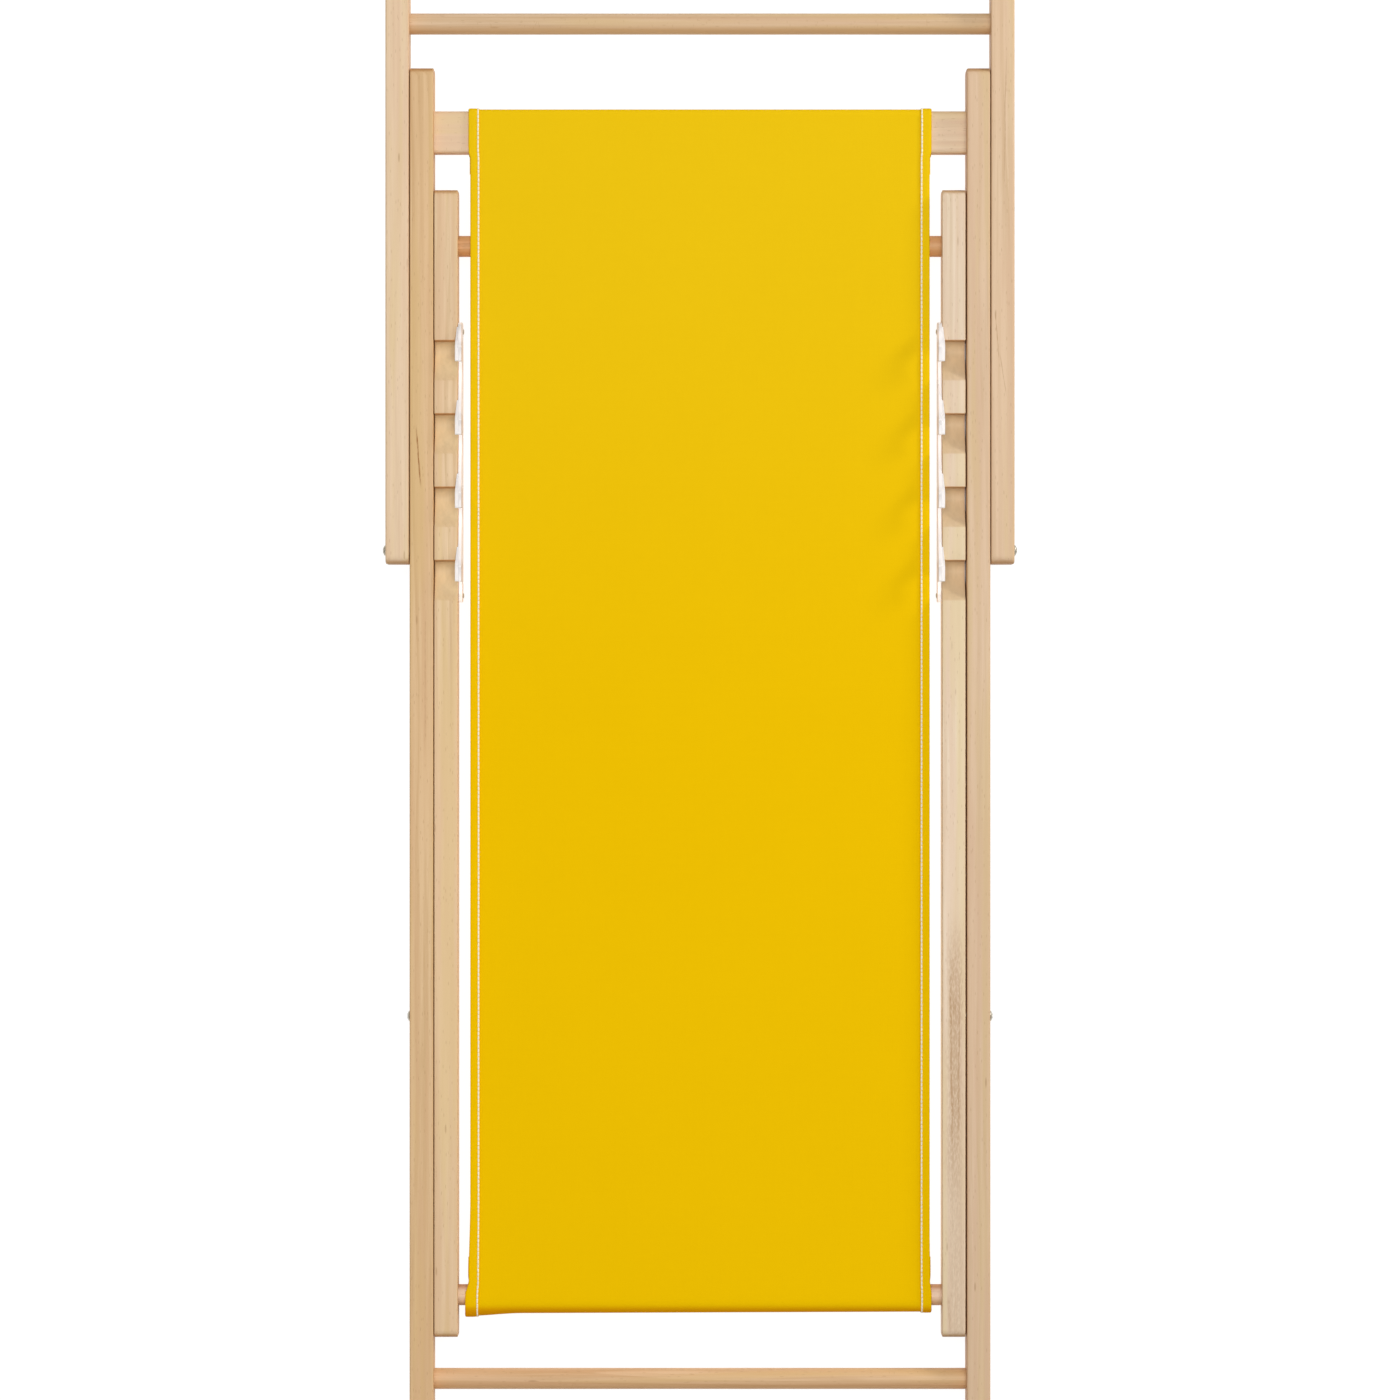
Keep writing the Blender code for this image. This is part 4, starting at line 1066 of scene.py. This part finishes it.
def half_width(side, i):
    """Edge of the cloth: it spreads where it goes round the bars."""
    y = path[i, 0]
    w = HALF_W
    w += 0.0018 * float(smoothstep(0.5125, 0.5195, y))
    if side < 0:
        w += 0.0016 * float(smoothstep(-0.470, -0.548, y)) + 0.0034 * float(smoothstep(-0.5510, -0.5630, y))
    else:
        w += 0.0004 * float(smoothstep(-0.500, -0.550, y)) + 0.0014 * float(smoothstep(-0.5510, -0.5620, y))
    if i < front0 - 14 or i > front1 + 20:
        w += 0.0006
    return w


def relief(x, y):
    """Soft waves of the panel between the bars, normal to it."""
    span = float(smoothstep(0.500, 0.360, y) * smoothstep(-0.535, -0.400, y))
    t = (y - SEAT_FRONT_DOWEL_Y) / (SEAT_REAR_DOWEL_Y - SEAT_FRONT_DOWEL_Y)
    sag = -0.0010 * math.sin(math.pi * min(max(t, 0.0), 1.0)) * (1 - 0.35 * (x / HALF_W) ** 2)
    if y > SEAT_REAR_DOWEL_Y:
        sag = 0.0
    wave = 0.00042 * math.sin(9.0 * x + 5.2 * y + 0.7) + 0.00032 * math.sin(-14.0 * x + 8.3 * y + 2.0)
    wave += 0.00022 * math.sin(26.0 * x - 11.0 * y + 1.1) * (x / HALF_W) ** 2
    # the taut edges flutter very slightly
    flutter = 0.00035 * math.sin(21.0 * y + (1.3 if x > 0 else 0.2)) * abs(x / HALF_W) ** 6
    crease = 0.0
    for cx, cy, strength in ((0.1360, 0.390, 1.0), (0.1440, 0.372, -0.7), (0.1525, 0.395, 0.6)):
        crease -= strength * 0.00028 * math.exp(-((x - cx) / 0.0030) ** 2) * math.exp(-((y - cy) / 0.045) ** 2)
    return span * (wave + flutter + crease) + sag


def lower_edge(x):
    """How much further the front sleeve hangs, towards the left corner."""
    u = x / HALF_W
    return 0.0009 * (0.5 - u) * 0.9 + 0.0024 * float(smoothstep(-0.78, -1.0, u))


# across: (distance in from the edge, height over the cloth's middle, weight of the painted shade at the hem's folds and
# stitch line)
T = CLOTH
TOP_EDGE = [
    (0.00000, T * 0.55, 0.25), (0.00012, T * 1.12, 0.22), (0.00050, T * 1.42, 0.10), (0.00120, T * 1.54, 0.0),
    (0.00280, T * 1.60, 0.0), (0.00460, T * 1.60, 0.0), (0.00600, T * 1.54, 0.0), (0.00685, T * 1.40, 0.05),
    (0.00735, T * 1.20, 0.45), (0.00770, T * 1.10, 0.60), (0.00805, T * 1.20, 0.45), (0.00845, T * 1.34, 0.10),
    (0.00880, T * 1.22, 0.25), (0.00895, T * 0.90, 0.70), (0.00905, T * 0.56, 0.90), (0.00950, T * 0.50, 0.45),
    (0.01080, T * 0.50, 0.10), (0.01400, T * 0.50, 0.0),
]
UNDER_EDGE = [
    (0.00012, -T * 0.22, 0.1), (0.00050, -T * 0.42, 0.0), (0.00200, -T * 0.50, 0.0), (0.00685, -T * 0.48, 0.0),
    (0.00770, -T * 0.36, 0.5), (0.00855, -T * 0.48, 0.0), (0.01400, -T * 0.50, 0.0),
]
INNER = 56


def across(e, w):
    """Distance in from the edge, where the hem is wider than usual."""
    extra = 0.75 * (w - HALF_W)
    return e * (1 + extra / STITCH_IN) if e < STITCH_IN else e + extra


def cloth_point(i, x, n):
    """Point on ring i of the sweep, at x, n off the cloth's middle."""
    y, z = path[i]
    ny, nz = outward[i]
    if front0 <= i <= front1:
        n = n + relief(x, y)
    elif i > front1:
        fade = float(smoothstep(PANEL_Z + 0.0005, PANEL_Z - 0.0080, z))
        n = n + relief(x, path[front1, 0]) * (1 - fade)
    hang = 0.0
    if y < SEAT_FRONT_DOWEL_Y:
        hang = lower_edge(x) * (SEAT_FRONT_DOWEL_Y - y) / 0.0160
    return (x, y + ny * n - hang, z + nz * n)


def sling():
    rings = len(path)
    verts, uvs, hem_painted_shade = [], [], []
    loop_len = None
    for i in range(rings):
        wl, wr = half_width(-1, i), half_width(1, i)
        loop = []
        for e, n, f in TOP_EDGE:
            loop.append((-wl + across(e, wl), n, f))
        xa, xb = -wl + across(TOP_EDGE[-1][0], wl), wr - across(TOP_EDGE[-1][0], wr)
        for k in range(1, INNER):
            loop.append((xa + (xb - xa) * k / INNER, T * 0.5, 0.0))
        for e, n, f in reversed(TOP_EDGE):
            loop.append((wr - across(e, wr), n, f))
        for e, n, f in UNDER_EDGE:
            loop.append((wr - across(e, wr), n, f))
        for k in range(1, INNER):
            loop.append((xb + (xa - xb) * k / INNER, -T * 0.5, 0.0))
        for e, n, f in reversed(UNDER_EDGE):
            loop.append((-wl + across(e, wl), n, f))
        loop_len = len(loop)
        tail = i < front0 - 14 or i > front1 + 30
        for x, n, f in loop:
            verts.append(cloth_point(i, x, n))
            uvs.append((x, travel[i]))
            hem_painted_shade.append(f)
    faces = []
    for i in range(rings - 1):
        for j in range(loop_len):
            k = (j + 1) % loop_len
            faces.append((i * loop_len + j, i * loop_len + k, (i + 1) * loop_len + k, (i + 1) * loop_len + j))
    top_n = 2 * len(TOP_EDGE) + INNER - 1
    # end caps: strips between the upper and the lower side of the cloth
    def cap(row, flip):
        base = row * loop_len
        a, b = 0, loop_len - 1
        top_idx = list(range(top_n))
        low_idx = list(range(loop_len - 1, top_n - 1, -1))
        i = j = 0
        while i < len(top_idx) - 1 or j < len(low_idx) - 1:
            ti, lj = base + top_idx[i], base + low_idx[j]
            move_top = j >= len(low_idx) - 1 or (i < len(top_idx) - 1 and verts[base + top_idx[i + 1]][0] <= verts[base + low_idx[j + 1]][0])
            if move_top:
                tri = (ti, base + top_idx[i + 1], lj)
                i += 1
            else:
                tri = (ti, base + low_idx[j + 1], lj)
                j += 1
            faces.append(tri if flip else tri[::-1])
    cap(0, True)
    cap(rings - 1, False)
    mesh = bpy.data.meshes.new("canvas_sling")
    mesh.from_pydata(verts, [], faces)
    mesh.update()
    layer = mesh.uv_layers.new(name="cloth")
    index = np.empty(len(mesh.loops), dtype=np.int64)
    mesh.loops.foreach_get("vertex_index", index)
    layer.data.foreach_set("uv", np.asarray(uvs, dtype=np.float32)[index].ravel())
    bm = bmesh.new()
    bm.from_mesh(mesh)
    bmesh.ops.recalc_face_normals(bm, faces=bm.faces)
    bm.to_mesh(mesh)
    bm.free()
    ob = bpy.data.objects.new("canvas_sling", mesh)
    pieces.objects.link(ob)
    mesh.materials.append(CANVAS)
    mesh.shade_smooth()
    mesh.set_sharp_from_angle(angle=math.radians(70.0))
    put_attribute(ob, "hem_painted_shade", hem_painted_shade)
    # painted shade where the cloth rolls round the front dowel
    put_attribute(ob, "turn", [0.85 * float(smoothstep(-0.5715, -0.5792, v.co.y)) for v in ob.data.vertices])
    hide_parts("sling_top_sleeve", "sling_back_panel", "sling_bend_strip", "sling_seat_panel", "sling_front_sleeve")
    return ob


def at(s):
    """Ring number, as a float, at a distance along the cloth."""
    return float(np.interp(s, travel, np.arange(len(travel))))


def on_cloth(s, x_of, n):
    f = at(s)
    i = min(int(f), len(path) - 2)
    t = f - i
    a = Vector(cloth_point(i, x_of(i), n))
    b = Vector(cloth_point(i + 1, x_of(i + 1), n))
    return a.lerp(b, t)


def stitches(name, spots, radius, mat):
    """Rows of thread capsules: spots are (start, end, up) points."""
    verts, faces, uvs = [], [], []
    sides = 8
    for a, b, up in spots:
        axis = (b - a)
        length = axis.length
        axis.normalize()
        side = axis.cross(up).normalized()
        top = side.cross(axis).normalized()
        base = len(verts)
        prof = [(0.0, 0.25), (0.03, 0.70), (0.09, 0.93), (0.22, 1.0), (0.78, 1.0), (0.91, 0.93), (0.97, 0.70), (1.0, 0.25)]
        for t, w in prof:
            centre = a + axis * (length * t) - top * (radius * 0.75 * (1 - w))
            for k in range(sides):
                ang = 2 * math.pi * k / sides
                verts.append(centre + (side * math.cos(ang) + top * math.sin(ang)) * radius * w)
                uvs.append((k / sides, length * t))
        for i in range(len(prof) - 1):
            for k in range(sides):
                m = (k + 1) % sides
                faces.append((base + i * sides + k, base + i * sides + m, base + (i + 1) * sides + m, base + (i + 1) * sides + k))
        faces.append(tuple(base + k for k in range(sides)))
        faces.append(tuple(base + (len(prof) - 1) * sides + k for k in range(sides))[::-1])
    mesh = bpy.data.meshes.new(name)
    mesh.from_pydata([tuple(v) for v in verts], [], faces)
    mesh.update()
    layer = mesh.uv_layers.new(name="cloth")
    index = np.empty(len(mesh.loops), dtype=np.int64)
    mesh.loops.foreach_get("vertex_index", index)
    layer.data.foreach_set("uv", np.asarray(uvs, dtype=np.float32)[index].ravel())
    bm = bmesh.new()
    bm.from_mesh(mesh)
    bmesh.ops.recalc_face_normals(bm, faces=bm.faces)
    bm.to_mesh(mesh)
    bm.free()
    ob = bpy.data.objects.new(name, mesh)
    pieces.objects.link(ob)
    mesh.materials.append(mat)
    mesh.shade_smooth()
    return ob


cloth = sling()
sewn = []
for s, word in SIDES:
    spots = []
    pos = travel[2]
    pitch, length = 0.0040, 0.00394
    while pos + length < travel[-3]:
        x_of = lambda i: s * (half_width(s, i) - across(STITCH_IN, half_width(s, i)))
        lift = T * 1.10 + 0.00010
        a = on_cloth(pos, x_of, lift)
        b = on_cloth(pos + length, x_of, lift)
        i = int(at(pos + length / 2))
        up = Vector((0.0, outward[i, 0], outward[i, 1]))
        spots.append((a, b, up))
        pos += pitch
    sewn.append(stitches("hem_stitching_" + word, spots, 0.00086, TOPSTITCH))
# the sleeves are closed from the underside
for tag, ring in (("top", 2), ("front", len(path) - 3)):
    spots = []
    x = -HALF_W + 0.0105
    while x + 0.0030 < HALF_W - 0.0105:
        a = Vector(cloth_point(ring, x, T * 0.5 + 0.00005))
        b = Vector(cloth_point(ring, x + 0.0028, T * 0.5 + 0.00005))
        spots.append((a, b, Vector((0, 0, -1))))
        x += 0.0034
    sewn.append(stitches("tunnel_seam_" + tag, spots, 0.00030, TUNNEL_THREAD))

for ob in [cloth] + sewn:
    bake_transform(ob)

# ---------------------------------------------------------------- floor, light, camera
floor_mesh = bpy.data.meshes.new("floor")
floor_mesh.from_pydata([(-8, -8, -0.0004), (8, -8, -0.0004), (8, 8, -0.0004), (-8, 8, -0.0004)], [], [(0, 1, 2, 3)])
floor = bpy.data.objects.new("floor", floor_mesh)
scene.collection.objects.link(floor)
pale = Nodes("pale_floor")
pale.set(Base_Color=(0.15, 0.15, 0.15, 1.0), Roughness=0.9)
pale.bsdf.inputs["Specular IOR Level"].default_value = 0.0
pale.bsdf.inputs["Emission Color"].default_value = (1.0, 1.0, 1.0, 1.0)
pale.bsdf.inputs["Emission Strength"].default_value = 0.93
floor_mesh.materials.append(pale.mat)

world = bpy.data.worlds.new("studio")
world.use_nodes = True
back = world.node_tree.nodes["Background"]
back.inputs["Color"].default_value = (1.0, 0.995, 0.985, 1.0)
back.inputs["Strength"].default_value = 0.27
scene.world = world


def area(name, direction, distance, size, power, colour=(1, 1, 1)):
    data = bpy.data.lights.new(name, "AREA")
    data.shape = "RECTANGLE"
    data.size, data.size_y = size
    data.energy = power
    data.color = colour
    ob = bpy.data.objects.new(name, data)
    d = Vector(direction).normalized()
    ob.location = d * distance
    ob.rotation_euler = d.to_track_quat("Z", "Y").to_euler()
    ob.visible_camera = False
    scene.collection.objects.link(ob)
    return ob


# soft overhead light, and a low softbox to the right, a little beyond the head end
area("overhead", (0.05, 0.09, 1.0), 4.5, (3.0, 3.0), 139.0, (1.0, 0.995, 0.985))
az, el = math.radians(29.0), math.radians(16.5)
area("low_key", (math.cos(az) * math.cos(el), math.sin(az) * math.cos(el), math.sin(el)), 5.0, (1.1, 0.8), 88.0,
     (1.0, 0.99, 0.97))

cam_data = bpy.data.cameras.new("camera")
cam_data.sensor_width = 36.0
cam_data.lens = 36.0 * 6000.0 / 1323.0
cam_data.clip_start = 0.1
cam_data.clip_end = 60.0
cam = bpy.data.objects.new("camera", cam_data)
cam.location = (0.0, 0.0, RAIL_D + 6.0)
scene.collection.objects.link(cam)
scene.camera = cam

scene.view_settings.view_transform = "Standard"
scene.view_settings.look = "None"
scene.view_settings.exposure = 0.0
scene.view_settings.gamma = 1.0
